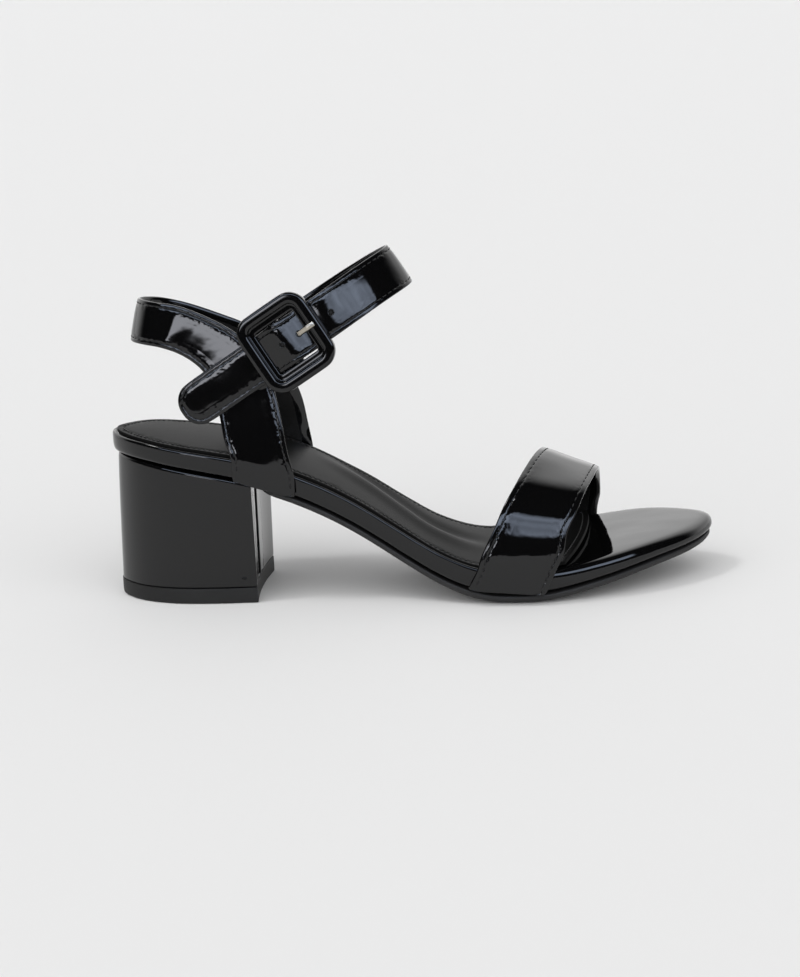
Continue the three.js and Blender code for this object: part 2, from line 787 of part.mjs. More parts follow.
function makeRearBand() {
  const half = ankleWidth / 2;
  const away = clearance + strapThickness / 2;
  const outer = strapFoot(quarterBackOuter, quarterFrontOuter, -1, away, 0);
  const inner = strapFoot(quarterBackInner, quarterFrontInner, 1, away, 0);
  const place = (row, xShare, rise, out, foot) => {
    const x = xShare * ankleReach;
    const z = seatTop + rise * slingRise;
    let y = row.side * (out === undefined ? ankleSide(x, z) : out * half);
    if (row.blend) {
      y = THREE.MathUtils.lerp(y, foot.y, row.blend);
    }
    return new THREE.Vector3(x, y, z);
  };
  const body = rearRows.map((row) => {
    const foot = row.side < 0 ? outer.high : inner.high;
    return {
      a: place(row, row.ax, row.aRise, row.aOut, foot.a),
      b: place(row, row.bx, row.bRise, row.bOut, foot.b),
    };
  });
  const rows = [outer.low, outer.high, ...body, inner.high, inner.low];
  return loftBand(bandSections(rows, 64), strapThickness, 0, -1);
}

// Height of the ankle strap over its course where it passes over the buckle's bar
function strapHump(forward) {
  const share = THREE.MathUtils.clamp(Math.abs(forward) / humpReach, 0, 1);
  return humpRise * (1 - THREE.MathUtils.smoothstep(share, 0, 1));
}

function makeAnkleStrapBand() {
  const length = loopLength;
  const across = ankleWidth + strapThickness + layerGap;
  const course = loopRows.map((row) => new THREE.Vector2(row.along * length, row.across * across));
  const half = ankleStrapWidth / 2;
  const rows = course.map((point, i) => {
    const before = course[Math.max(i - 1, 0)];
    const after = course[Math.min(i + 1, course.length - 1)];
    const inward = after.x - before.x;
    const inwards = -inward / after.distanceTo(before);
    const up = leanedUpright(inwards);
    const drop = loopDrop * THREE.MathUtils.smoothstep(loopRows[i].across, 0, 0.5);
    const middle = bucklePlace.clone()
      .addScaledVector(strapForward, point.x)
      .addScaledVector(strapUpright, -drop);
    middle.y += point.y - (point.x < 0 ? rootSunk : 0);
    return {
      a: middle.clone().addScaledVector(up, -half),
      b: middle.clone().addScaledVector(up, half),
    };
  });
  const loop = bandSections(rows, 34);
  const near = nearStrapSections(half);
  return loftBand([...loop, ...near], strapThickness, strapCrown, -1);
}

// The straight end of the ankle strap: under the frame, over the bar, under the frame, and the
// rounded end
function nearStrapSections(half) {
  const steps = [13, 11, 9.5, 8, 6.5, 5, 3.5, 2, 0, -2, -3.5, -5, -6.5, -8, -9.5, -11, -15, -28, -39];
  const tipTurns = [15, 35, 55, 72, 84];
  const tipRadius = half * 0.92;
  const list = steps.map((forward) => ({ forward, half }));
  for (const turn of tipTurns) {
    const angle = THREE.MathUtils.degToRad(turn);
    list.push({
      forward: -strapEnd + tipRadius * (1 - Math.sin(angle)),
      half: half - tipRadius * (1 - Math.cos(angle)),
    });
  }
  return list.map(({ forward, half: reach }) => {
    const step = 0.5;
    const rise = strapHump(forward);
    const slopeOut = (strapHump(forward - step) - strapHump(forward + step)) / (2 * step);
    const travel = strapForward.clone().negate().addScaledVector(buckleOut, slopeOut).normalize();
    return {
      a: atBuckle(forward, -reach, rise),
      b: atBuckle(forward, reach, rise),
      da: travel,
      db: travel,
      bow: 0,
    };
  });
}

// A box in the buckle's own frame, from one corner to the other
function buckleBox(from, to) {
  const size = to.clone().sub(from);
  const geometry = new THREE.BoxGeometry(size.x, size.y, size.z);
  const middle = from.clone().add(to).multiplyScalar(0.5);
  geometry.translate(middle.x, middle.y, middle.z);
  return intoPlace(geometry);
}

function intoPlace(geometry) {
  const turn = new THREE.Matrix4().makeBasis(strapForward, buckleUp, buckleOut);
  turn.setPosition(bucklePlace);
  return geometry.applyMatrix4(turn);
}

// A ring of the given width round the buckle's bar
function barRing(innerRadius, outerRadius, upFrom, upTo) {
  const profile = [
    new THREE.Vector2(innerRadius, upFrom),
    new THREE.Vector2(outerRadius, upFrom),
    new THREE.Vector2(outerRadius, upTo),
    new THREE.Vector2(innerRadius, upTo),
    new THREE.Vector2(innerRadius, upFrom),
  ];
  const geometry = new THREE.LatheGeometry(profile, 16);
  geometry.translate(0, 0, barOut);
  return intoPlace(geometry);
}

const quarterOut = -(strapThickness + layerGap);
const tabThickness = strapThickness * 0.75;
const tabOverlap = 0.6;
const ringRadius = barRadius + clearance + loopWall;
const barOut = quarterOut - tabThickness / 2 + ringRadius;
const humpRise = barOut + ringRadius + clearance + strapThickness / 2;
const humpReach = frameLength / 2 - frameBar;
const frameUnder = strapThickness / 2 + strapCrown + clearance;
const frameFront = frameShift + frameLength / 2;

function makeRearUpper() {
  const band = toSolid(makeRearBand());
  const strap = toSolid(makeAnkleStrapBand());
  const slot = toSolid(buckleBox(
    new THREE.Vector3(holeNear, -prongSlot / 2, -strapThickness),
    new THREE.Vector3(holeFar, prongSlot / 2, humpRise + strapThickness),
  ));
  const tabStrip = toSolid(buckleBox(
    new THREE.Vector3(-tabLength, -tabBelow, quarterOut - tabThickness / 2),
    new THREE.Vector3(-ringRadius * tabOverlap, tabAbove, quarterOut + tabThickness / 2),
  ));
  const eyeRoom = toSolid(buckleBox(
    new THREE.Vector3(-ringRadius - clearance * 2, -prongSlot / 2, quarterOut - tabThickness),
    new THREE.Vector3(0, prongSlot / 2, quarterOut + tabThickness),
  ));
  const tab = tabStrip.subtract(eyeRoom);
  const boreRadius = barRadius + clearance;
  const rings = [
    toSolid(barRing(boreRadius, ringRadius, -tabBelow, -prongSlot / 2)),
    toSolid(barRing(boreRadius, ringRadius, prongSlot / 2, tabAbove)),
  ];
  const upper = band.add(strap.subtract(slot)).add(tab).add(rings[0]).add(rings[1]);
  return named('rear_upper', toGeometry(upper), 'patent');
}

function makeBuckleFrame() {
  const outline = roundedRectangle(frameLength, frameWidth, frameCorner);
  const openingLength = frameLength - 2 * frameBar;
  const openingWidth = frameWidth - 2 * frameBar;
  outline.holes.push(roundedRectangle(openingLength, openingWidth, openingCorner));
  const bevel = frameHeight * bevelShare;
  const geometry = new THREE.ExtrudeGeometry(outline, {
    depth: frameHeight - 2 * bevel,
    bevelEnabled: true,
    bevelThickness: bevel,
    bevelSize: bevel,
    bevelOffset: -bevel,
    bevelSegments: 2,
    curveSegments: 5,
  });
  geometry.translate(frameShift, 0, frameUnder + bevel);
  const barReach = frameWidth / 2 - frameBar / 2;
  const postReach = barRadius + postMargin;
  const bar = new THREE.CylinderGeometry(barRadius, barRadius, barReach * 2, 12);
  bar.translate(0, 0, barOut);
  let frame = toSolid(intoPlace(geometry)).add(toSolid(intoPlace(bar)));
  for (const side of [-1, 1]) {
    const middle = side * barReach;
    frame = frame.add(toSolid(buckleBox(
      new THREE.Vector3(-postReach, middle - barRadius, barOut - postReach),
      new THREE.Vector3(postReach, middle + barRadius, frameUnder + frameHeight / 2),
    )));
  }
  const notch = toSolid(buckleBox(
    new THREE.Vector3(frameFront - frameBar - 1, -prongSlot / 2, frameUnder + frameHeight - notchDepth),
    new THREE.Vector3(frameFront + 1, prongSlot / 2, frameUnder + frameHeight + 1),
  ));
  return named('buckle_frame', toGeometry(frame.subtract(notch)), 'frame');
}

function roundedRectangle(length, width, radius) {
  const x = length / 2;
  const y = width / 2;
  const shape = new THREE.Shape();
  shape.moveTo(-x + radius, -y);
  shape.lineTo(x - radius, -y);
  shape.absarc(x - radius, -y + radius, radius, -Math.PI / 2, 0);
  shape.lineTo(x, y - radius);
  shape.absarc(x - radius, y - radius, radius, 0, Math.PI / 2);
  shape.lineTo(-x + radius, y);
  shape.absarc(-x + radius, y - radius, radius, Math.PI / 2, Math.PI);
  shape.lineTo(-x, -y + radius);
  shape.absarc(-x + radius, -y + radius, radius, Math.PI, Math.PI * 1.5);
  return shape;
}

// The prong: an eye round the bar, then up through the strap and over into the frame's notch
function makeProng() {
  const half = prongThickness / 2;
  const restOut = frameUnder + frameHeight - notchDepth + clearance + half;
  const middle = [
    [ringRadius * 0.8, barOut + clearance],
    [holeNear + 0.2, 0],
    [holeFar - 0.4, strapThickness + half + 0.1],
    [frameFront - frameBar - 0.4, restOut],
    [frameFront - prongBack, restOut],
  ].map(([forward, out]) => new THREE.Vector2(forward, out));
  const upper = middle.map((point) => point.clone().add(new THREE.Vector2(0, half)));
  const lower = middle.map((point) => point.clone().add(new THREE.Vector2(0, -half))).reverse();
  const side = new THREE.Shape([...upper, ...lower]);
  const arm = new THREE.ExtrudeGeometry(side, { depth: prongWidth, bevelEnabled: false });
  arm.rotateX(Math.PI / 2);
  arm.translate(0, prongWidth / 2, 0);
  const eye = toSolid(barRing(barRadius + clearance, ringRadius, -prongWidth / 2, prongWidth / 2));
  return named('buckle_prong', toGeometry(eye.add(toSolid(intoPlace(arm)))), 'metal');
}

const group = new THREE.Group();
group.add(makeHeelTip());
group.add(makeHeelBlock());
group.add(makeOutsole());
group.add(makeBoard());
group.add(makeSock());
group.add(makeVampStrap());
group.add(makeRearUpper());
group.add(makeBuckleFrame());
group.add(makeProng());

export default group;
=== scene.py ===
# %% [markdown]
# # A black patent sandal on a block heel
# The sandal has a heel block with a rubber tip, an outsole, an arched board wrapped in patent, a soft
# sock, one wide strap over the toes, and quarters with a sling and a buckled ankle strap. Each step
# below makes one of these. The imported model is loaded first, because it holds every place and size.

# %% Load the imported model
import math

import bpy
from mathutils import Matrix, Quaternion, Vector


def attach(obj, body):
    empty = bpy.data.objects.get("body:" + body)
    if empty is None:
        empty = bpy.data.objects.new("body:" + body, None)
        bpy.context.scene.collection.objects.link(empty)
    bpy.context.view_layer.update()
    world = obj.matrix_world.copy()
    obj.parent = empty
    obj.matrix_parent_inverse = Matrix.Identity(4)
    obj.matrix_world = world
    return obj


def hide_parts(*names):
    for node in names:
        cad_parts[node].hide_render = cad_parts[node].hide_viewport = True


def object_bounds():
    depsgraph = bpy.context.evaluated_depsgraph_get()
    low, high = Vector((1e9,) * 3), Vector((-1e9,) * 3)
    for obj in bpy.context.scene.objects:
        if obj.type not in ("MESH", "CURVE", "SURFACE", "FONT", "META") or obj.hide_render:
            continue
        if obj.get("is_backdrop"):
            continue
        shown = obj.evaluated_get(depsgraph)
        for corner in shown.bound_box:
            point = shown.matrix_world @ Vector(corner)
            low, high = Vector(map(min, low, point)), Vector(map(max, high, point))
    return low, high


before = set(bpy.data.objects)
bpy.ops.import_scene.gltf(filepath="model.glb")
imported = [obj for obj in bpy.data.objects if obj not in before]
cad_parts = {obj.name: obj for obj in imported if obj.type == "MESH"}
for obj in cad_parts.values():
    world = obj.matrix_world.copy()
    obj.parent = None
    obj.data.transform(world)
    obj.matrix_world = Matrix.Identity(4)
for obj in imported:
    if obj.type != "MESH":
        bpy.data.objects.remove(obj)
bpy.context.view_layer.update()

# %% [markdown]
# ## Camera
# The photograph is taken from the outer side, a little above the shoe, with a long lens. The camera
# could be aimed by a constraint, but a written turn also allows the slight roll of the photograph.

# %% Place the camera
VIEW_TARGET = Vector((0.08543, -0.00077, 0.03991))


def place_camera(target, azimuth, elevation, roll, distance, lens):
    turn, rise = math.radians(azimuth), math.radians(elevation)
    level = math.cos(rise)
    back = Vector((math.sin(turn) * level, -math.cos(turn) * level, math.sin(rise)))
    bpy.ops.object.camera_add(location=target + back * distance)
    camera = bpy.context.object
    camera.rotation_mode = "QUATERNION"
    upright = (-back).to_track_quat("-Z", "Y")
    camera.rotation_quaternion = upright @ Quaternion((0, 0, 1), math.radians(-roll))
    camera.data.lens = lens
    camera.data.clip_start = 0.05
    bpy.context.scene.camera = camera
    return camera


camera = place_camera(VIEW_TARGET, azimuth=3, elevation=14, roll=2.5, distance=1.0, lens=90.28)
print("camera at", [round(v, 3) for v in camera.location])

# %% [markdown]
# ## Sizes shared with the solids
# The straps, the sock and every seam follow the same curves as the solids. Their places could be
# read off the meshes, but short tables of the same sizes give cleaner lines. All are in millimetres.

# %% Sizes of the sole
MM = 0.001
SHOE_LENGTH = 244
BACK_OVERHANG = 31
BALL_WIDTH = 78
SEAT_HEIGHT = 61.2
TOE_SPRING = 14.2
BOARD_THICKNESS = 9.8
SOLE_THICKNESS = 3.8
TREAD_FLAT = 0.45
CLEARANCE = 0.3
SEAT_ALONG = 0.12
OUTLINE = [
    (0, 0, 0), (0.013, 0.118, 0.118), (0.05, 0.24, 0.25), (0.11, 0.325, 0.338),
    (0.2, 0.364, 0.367), (0.3, 0.372, 0.344), (0.4, 0.388, 0.306), (0.5, 0.423, 0.3),
    (0.6, 0.472, 0.378), (0.7, 0.49, 0.478), (0.78, 0.456, 0.516), (0.86, 0.36, 0.495),
    (0.92, 0.23, 0.43), (0.965, 0.095, 0.335), (0.99, -0.035, 0.25), (1, -0.154, 0.154),
]
PROFILE = [
    (0, 1.004, 0, 0.83, 0.84), (0.05, 0.976, 0, 0.82, 0.84), (0.11, 0.933, 0, 0.84, 0.84),
    (0.2, 0.863, 0, 0.88, 0.84), (0.25, 0.808, 0, 0.92, 0.84), (0.3, 0.735, 0, 0.94, 0.86),
    (0.36, 0.618, 0, 0.97, 0.91), (0.42, 0.473, 0, 0.98, 0.96), (0.48, 0.3, 0, 1, 1),
    (0.54, 0.138, 0, 1, 1), (0.6, 0.033, 0, 1, 1), (0.66, -0.006, 0, 1, 1),
    (0.72, 0, 0.06, 0.96, 1), (0.8, 0, 0.33, 0.86, 0.98), (0.9, 0, 0.69, 0.73, 0.95),
    (1, 0, 1, 0.62, 0.9),
]
LATERAL, MEDIAL = 1, 2
LIFT, SPRING, BOARD, SOLE = 1, 2, 3, 4


def turn_of(along):
    return math.acos(1 - 2 * min(max(along, 0), 1))


def read_table(rows, column, along):
    """A column of a table, read between its rows along a smooth curve."""
    turn = turn_of(along)
    i = 0
    while i < len(rows) - 2 and turn_of(rows[i + 1][0]) < turn:
        i += 1
    around = [rows[k] for k in (max(i - 1, 0), i, i + 1, min(i + 2, len(rows) - 1))]
    t0, t1, t2, t3 = (turn_of(row[0]) for row in around)
    before, start, end, after = (row[column] for row in around)
    span = t2 - t1
    share = (turn - t1) / span
    slope_in = (end - before) / (t2 - t0) * span
    slope_out = (after - start) / (t3 - t1) * span
    s2, s3 = share**2, share**3
    return (start * (2 * s3 - 3 * s2 + 1) + slope_in * (s3 - 2 * s2 + share)
            + end * (3 * s2 - 2 * s3) + slope_out * (s3 - s2))


def x_at(along):
    return along * SHOE_LENGTH - BACK_OVERHANG


def along_at(x):
    return (x + BACK_OVERHANG) / SHOE_LENGTH


def tread_height(x):
    along = along_at(x)
    lift = read_table(PROFILE, LIFT, along)
    rise = SEAT_HEIGHT - CLEARANCE - PROFILE[0][SOLE] * SOLE_THICKNESS
    return max(0, lift * rise + read_table(PROFILE, SPRING, along) * TOE_SPRING - TREAD_FLAT)


def board_bottom(x):
    return tread_height(x) + read_table(PROFILE, SOLE, along_at(x)) * SOLE_THICKNESS + CLEARANCE


def board_top(x):
    return board_bottom(x) + read_table(PROFILE, BOARD, along_at(x)) * BOARD_THICKNESS


def half_width(along, side):
    return side * read_table(OUTLINE, LATERAL if side < 0 else MEDIAL, along) * BALL_WIDTH


SMALL_TURN = 0.004


def outline_point(along, side, inset):
    """A point inside the outline by an inset, square to it."""
    turn = turn_of(along)
    before = (1 - math.cos(max(turn - SMALL_TURN, 0))) / 2
    after = (1 - math.cos(min(turn + SMALL_TURN, math.pi))) / 2
    dx = 0 if along <= 0 or along >= 1 else (after - before) * SHOE_LENGTH
    dy = half_width(after, side) - half_width(before, side)
    length = math.hypot(dx, dy)
    x = x_at(along) + side * dy / length * inset
    return Vector((x, half_width(along, side) - side * dx / length * inset, 0))


seat, toe = board_top(x_at(SEAT_ALONG)), board_top(x_at(1))
print("seat at", round(seat, 1), "mm, toe tip at", round(toe, 1), "mm")

# %% [markdown]
# ## Helpers
# A few small helpers do what a hand does in Blender: select one piece, open it in edit mode, pick
# faces, run one modifier and apply it. They keep every later cell short.

# %% Helpers for selecting and finishing
def leave_edit():
    bpy.ops.object.mode_set(mode="OBJECT")


def select_only(*pieces):
    if bpy.context.object and bpy.context.object.mode != "OBJECT":
        leave_edit()
    bpy.ops.object.select_all(action="DESELECT")
    for piece in pieces:
        piece.select_set(True)
    bpy.context.view_layer.objects.active = pieces[-1]


def open_whole(piece):
    """Opens a piece in edit mode with all of it selected."""
    select_only(piece)
    bpy.ops.object.mode_set(mode="EDIT")
    bpy.ops.mesh.select_all(action="SELECT")


def pick(piece, kind, wanted):
    """Opens a piece in edit mode with the wanted faces or edges selected."""
    open_whole(piece)
    bpy.ops.mesh.select_mode(type=kind)
    bpy.ops.mesh.select_all(action="DESELECT")
    leave_edit()
    for part in piece.data.edges if kind == "EDGE" else piece.data.polygons:
        part.select = wanted(part)
    bpy.ops.object.mode_set(mode="EDIT")


def apply_place(piece):
    select_only(piece)
    bpy.ops.object.transform_apply(location=True, rotation=True, scale=True)


def join(*pieces):
    """Joins pieces into the last one."""
    select_only(*pieces)
    bpy.ops.object.join()
    return pieces[-1]


def run_modifier(piece, kind, **settings):
    select_only(piece)
    modifier = piece.modifiers.new(kind.title(), kind)
    for key, value in settings.items():
        setattr(modifier, key, value)
    bpy.ops.object.modifier_apply(modifier=modifier.name)


def round_edges(piece, radius, over=30):
    """Bevels the edges that turn by more than so many degrees."""
    run_modifier(piece, "BEVEL", width=radius, segments=2, limit_method="ANGLE",
                 angle_limit=math.radians(over))


def subdivide(piece, levels):
    run_modifier(piece, "SUBSURF", levels=levels, render_levels=levels)


def settle(piece, name, material=None, node=None):
    """Names a finished piece and lets it stand for its solid. Without a material it keeps its own."""
    apply_place(piece)
    bpy.ops.object.shade_smooth()
    piece.name = piece.data.name = name
    if material:
        piece.data.materials.clear()
        piece.data.materials.append(material)
    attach(piece, "root")
    if node:
        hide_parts(node)
    print(name, len(piece.data.polygons), "faces")


def lay_wire(name, points, closed=False):
    """A wire through points given in millimetres, as a mesh of edges."""
    curve = bpy.data.curves.new(name, "CURVE")
    curve.dimensions = "3D"
    spline = curve.splines.new("POLY")
    spline.points.add(len(points) - 1)
    for place, point in zip(spline.points, points):
        place.co = (*(point * MM), 1)
    spline.use_cyclic_u = closed
    wire = bpy.data.objects.new(name, curve)
    bpy.context.collection.objects.link(wire)
    select_only(wire)
    bpy.ops.object.convert(target="MESH")
    return bpy.context.object


# %% [markdown]
# ## Patent leather
# Patent is leather under a clear film: nearly black, mirror smooth, and never quite flat. A plain
# black with low roughness looks like plastic, so a slow ripple bends its reflections, and fine puckers
# follow each seam. The ripple serves several materials, so it is a node group. The puckers are another.

# %% Shared effects
def new_group(name, inputs):
    """A node group with numbers as inputs and a height as its output."""
    group = bpy.data.node_groups.new(name, "ShaderNodeTree")
    for label, value in inputs.items():
        socket = group.interface.new_socket(label, in_out="INPUT", socket_type="NodeSocketFloat")
        socket.default_value = value
    group.interface.new_socket("Height", in_out="OUTPUT", socket_type="NodeSocketFloat")
    return group, group.nodes.new("NodeGroupInput"), group.nodes.new("NodeGroupOutput")


def feed(tree, socket, value):
    """Links a socket to another one, or gives it a plain value."""
    if isinstance(value, bpy.types.NodeSocket):
        tree.links.new(value, socket)
    else:
        socket.default_value = value


def add_node(tree, kind, **inputs):
    """Adds a node and feeds its inputs. An underscore stands for the space in an input's name."""
    node = tree.nodes.new("ShaderNode" + kind)
    for label, value in inputs.items():
        feed(tree, node.inputs[label.replace("_", " ")], value)
    return node


def add_noise(tree, coordinates, scale, detail=1.0, roughness=0.5):
    noise = add_node(tree, "TexNoise", Vector=coordinates, Scale=scale, Detail=detail,
                     Roughness=roughness)
    return noise.outputs["Fac"]


def add_math(tree, operation, first, second):
    node = add_node(tree, "Math")
    node.operation = operation
    feed(tree, node.inputs[0], first)
    feed(tree, node.inputs[1], second)
    return node.outputs[0]


def build_ripple():
    group, start, end = new_group("film ripple", {"Slow": 30.0, "Fine": 160.0, "Share": 0.25})
    place = add_node(group, "TexCoord").outputs["Object"]
    slow = add_noise(group, place, start.outputs["Slow"])
    fine = add_noise(group, place, start.outputs["Fine"])
    both = add_math(group, "ADD", slow, add_math(group, "MULTIPLY", fine, start.outputs["Share"]))
    feed(group, end.inputs["Height"], both)
    return group


def build_pucker():
    group, start, end = new_group("seam pucker", {"Scale": 420.0})
    place = add_node(group, "TexCoord").outputs["Object"]
    seam = add_node(group, "Attribute")
    seam.attribute_name = "seam"
    noise = add_noise(group, place, start.outputs["Scale"])
    feed(group, end.inputs["Height"], add_math(group, "MULTIPLY", noise, seam.outputs["Fac"]))
    return group


ripple_group = build_ripple()
pucker_group = build_pucker()

# %% Materials
def new_material(name, color, roughness):
    material = bpy.data.materials.new(name)
    material.use_nodes = True
    shader = material.node_tree.nodes["Principled BSDF"]
    shader.inputs["Base Color"].default_value = (*color, 1)
    shader.inputs["Roughness"].default_value = roughness
    return material, material.node_tree, shader


def add_bump(tree, shader, height, strength, distance, before=None):
    bump = add_node(tree, "Bump", Height=height, Strength=strength, Distance=distance)
    if before:
        feed(tree, bump.inputs["Normal"], before.outputs["Normal"])
    feed(tree, shader.inputs["Normal"], bump.outputs["Normal"])
    return bump


def use_group(tree, group, **values):
    """Places a group with its own values and returns its height."""
    node = add_node(tree, "Group")
    node.node_tree = group
    for label, value in values.items():
        node.inputs[label].default_value = value
    return node.outputs["Height"]


PATENT_BLACK = (0.0022, 0.0022, 0.0024)
PUCKER_DEPTH = 0.00028
SMOOTHEST, ROUGHEST = 0.03, 0.08


def make_patent(name, slow, fine, share, distance, seams=False):
    material, tree, shader = new_material(name, PATENT_BLACK, ROUGHEST)
    shader.inputs["Specular IOR Level"].default_value = 0.45
    ripple = use_group(tree, ripple_group, Slow=slow, Fine=fine, Share=share)
    bump = add_bump(tree, shader, ripple, 1.0, distance)
    if seams:
        add_bump(tree, shader, use_group(tree, pucker_group), 1.0, PUCKER_DEPTH, bump)
    place = add_node(tree, "TexCoord").outputs["Object"]
    wear = add_noise(tree, place, 90, 3.0)
    span = add_node(tree, "MapRange", Value=wear, To_Min=SMOOTHEST, To_Max=ROUGHEST)
    feed(tree, shader.inputs["Roughness"], span.outputs["Result"])
    return material


DARKER, LIGHTER = 0.75, 1.3


def make_grained(name, color, roughness, scale, distance, shine=0.5):
    material, tree, shader = new_material(name, color, roughness)
    shader.inputs["Specular IOR Level"].default_value = shine
    place = add_node(tree, "TexCoord").outputs["Object"]
    grain = add_noise(tree, place, scale, 4.0, 0.6)
    add_bump(tree, shader, grain, 0.6, distance)
    shades = add_node(tree, "Mix")
    shades.data_type = "RGBA"
    shades.inputs["A"].default_value = (*[c * DARKER for c in color], 1)
    shades.inputs["B"].default_value = (*[c * LIGHTER for c in color], 1)
    feed(tree, shades.inputs["Factor"], add_noise(tree, place, 120, 2.0))
    feed(tree, shader.inputs["Base Color"], shades.outputs["Result"])
    return material


patent = make_patent("patent leather", slow=30, fine=220, share=0.06, distance=0.0006, seams=True)
patent_board = make_patent("patent board", slow=22, fine=90, share=0.05, distance=0.0002)
patent_insole = make_patent("patent insole", slow=45, fine=160, share=0.05, distance=0.00035)
lining = make_grained("lining", (0.005, 0.005, 0.005), 0.5, 900, 0.0003, shine=0.2)
sock_leather = make_grained("sock leather", (0.006, 0.006, 0.006), 0.33, 1400, 0.0001, shine=0.016)
sole_rubber = make_grained("sole rubber", (0.014, 0.014, 0.0145), 0.6, 1100, 0.00015, shine=0.4)
tip_rubber = make_grained("tip rubber", (0.009, 0.009, 0.009), 0.55, 1500, 0.0001, shine=0.3)
thread = make_grained("thread", (0.006, 0.006, 0.006), 0.5, 3000, 0.0001, shine=0.4)
frame_gloss = make_patent("frame gloss", slow=60, fine=100, share=0.1, distance=0.00004)
prong_metal = make_grained("prong metal", (0.42, 0.39, 0.33), 0.28, 700, 0.00004)
prong_metal.node_tree.nodes["Principled BSDF"].inputs["Metallic"].default_value = 1.0
print("materials:", len(bpy.data.materials))

# %% [markdown]
# ## Heel, tip, outsole and board
# These four keep the form of their solids. A new mesh could be lofted for each, but a copy of the
# solid with its triangles turned back into squares takes a subdivision well and stays in its place.
# The cover of the heel ends on the breast, where it is laid over itself. A nail leaves a small pit
# near the tip, and a dark matte spot there is painted shade for it.

# %% Smooth copy of a solid, and the heel
def smooth_copy(node, edge_radius=None):
    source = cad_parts[node]
    piece = source.copy()
    piece.data = source.data.copy()
    piece.parent = None
    piece.matrix_world = source.matrix_world.copy()
    bpy.context.collection.objects.link(piece)
    piece.hide_set(False)
    piece.hide_render = False
    open_whole(piece)
    bpy.ops.mesh.remove_doubles(threshold=1e-6)
    bpy.ops.mesh.tris_convert_to_quads(face_threshold=math.radians(40),
                                       shape_threshold=math.radians(75))
    leave_edit()
    if edge_radius:
        round_edges(piece, edge_radius * MM, over=50)
    subdivide(piece, 2)
    return piece


heel = smooth_copy("heel_block", 0.35)
settle(heel, "heel_cover", patent_board, "heel_block")

# %% End of the heel's cover, and painted shade for a nail's pit
FLAP_FROM_Y, FLAP_TO_Y = -8.0, 1.6
FLAP_FROM_Z, FLAP_TO_Z = 7.6, 45.0
FLAP_START_X = 45
FLAP_WALL = 0.4
NAIL_PIT_PLACE = Vector((22.4, -27, 10.4))
NAIL_SIZE = (1.1, 0.3, 0.65)


def make_heel_flap():
    """The end of the heel's cover, laid over itself on the breast."""
    width = FLAP_TO_Y - FLAP_FROM_Y
    height = FLAP_TO_Z - FLAP_FROM_Z
    bpy.ops.mesh.primitive_grid_add(x_subdivisions=16, y_subdivisions=6, size=1)
    flap = bpy.context.object
    open_whole(flap)
    bpy.ops.transform.resize(value=(height * MM, width * MM, 1))
    bpy.ops.transform.rotate(value=math.pi / 2, orient_axis="Y", center_override=(0, 0, 0))
    middle = Vector((FLAP_START_X, FLAP_FROM_Y + width / 2, FLAP_FROM_Z + height / 2))
    bpy.ops.transform.translate(value=middle * MM)
    leave_edit()
    run_modifier(flap, "SHRINKWRAP", target=heel, wrap_method="PROJECT", use_project_x=True,
                 use_negative_direction=True, use_positive_direction=True, offset=0.05 * MM)
    if flap.data.polygons[0].normal.x < 0:
        flap.data.flip_normals()
    run_modifier(flap, "SOLIDIFY", thickness=FLAP_WALL * MM, offset=1)
    round_edges(flap, 0.15 * MM)
    return flap


flap = make_heel_flap()
settle(flap, "heel_cover_end", patent_board)
# A flat dark matte spot on the cover is painted shade for the pit of a small nail hole.
place = heel.closest_point_on_mesh(NAIL_PIT_PLACE * MM)[1]
bpy.ops.mesh.primitive_uv_sphere_add(segments=16, ring_count=8, radius=MM, location=place)
nail_pit_shade = bpy.context.object
nail_pit_shade.scale = NAIL_SIZE
settle(nail_pit_shade, "painted_nail_pit_shade", lining)

# %% Tip, outsole and board
settle(smooth_copy("heel_tip", 0.3), "heel_tip_rubber", tip_rubber, "heel_tip")
settle(smooth_copy("outsole"), "outsole_rubber", sole_rubber, "outsole")
settle(smooth_copy("wrapped_board"), "board_cover", patent_insole, "wrapped_board")

# %% [markdown]
# ## Straps
# A strap is a strip of patent turned over at its edges, lined inside, and stitched near both edges.
# It could be a curve with a flat section, but then its two edges couldn't run freely. So two wires are
# laid along its edges and bridged, the strip gets its thickness, and insets press the seam into it.

# %% Smooth wires through the straps' points
def smooth_path(points, count):
    """Points on an evenly read curve through the given ones."""
    path = []
    for k in range(count + 1):
        place = (len(points) - 1) * k / count
        i = min(int(place), len(points) - 2)
        w = place - i
        p1, p2 = points[i], points[i + 1]
        p0 = points[i - 1] if i > 0 else p1 * 2 - p2
        p3 = points[i + 2] if i + 2 < len(points) else p2 * 2 - p1
        d1 = math.sqrt((p2 - p1).length) or 1
        d0 = math.sqrt((p1 - p0).length) or d1
        d2 = math.sqrt((p3 - p2).length) or d1
        t1 = ((p1 - p0) / d0 - (p2 - p0) / (d0 + d1) + (p2 - p1) / d1) * d1
        t2 = ((p2 - p1) / d1 - (p3 - p1) / (d1 + d2) + (p3 - p2) / d2) * d1
        path.append(p1 + t1 * w + (p1 * -3 + p2 * 3 - t1 * 2 - t2) * w**2
                    + (p1 * 2 - p2 * 2 + t1 + t2) * w**3)
    return path


def two_edges(rows, count):
    """The wires through the first and through the second place of every row."""
    return [smooth_path([row[k] for row in rows], count) for k in (0, 1)]


# %% Press a seam and copy it
FACE, BACK, EDGE, SEAM = 0, 1, 2, 3
EDGE_SHARE, EDGE_RISE = 0.35, 0.12
FLAT_SHARE = 0.5
GROOVE_HALF, GROOVE_DEPTH = 0.3, 0.3
CROWN_REACH, CROWN_RISE = 1.4, 0.25
PUCKER_STRENGTHS = (1.0, 0.7)


def give_slots(piece, face, back):
    """Material slots for the face, the back, the turned edge and, until it is copied, the seam."""
    for material in (face, back, face, face):
        piece.data.materials.append(material)


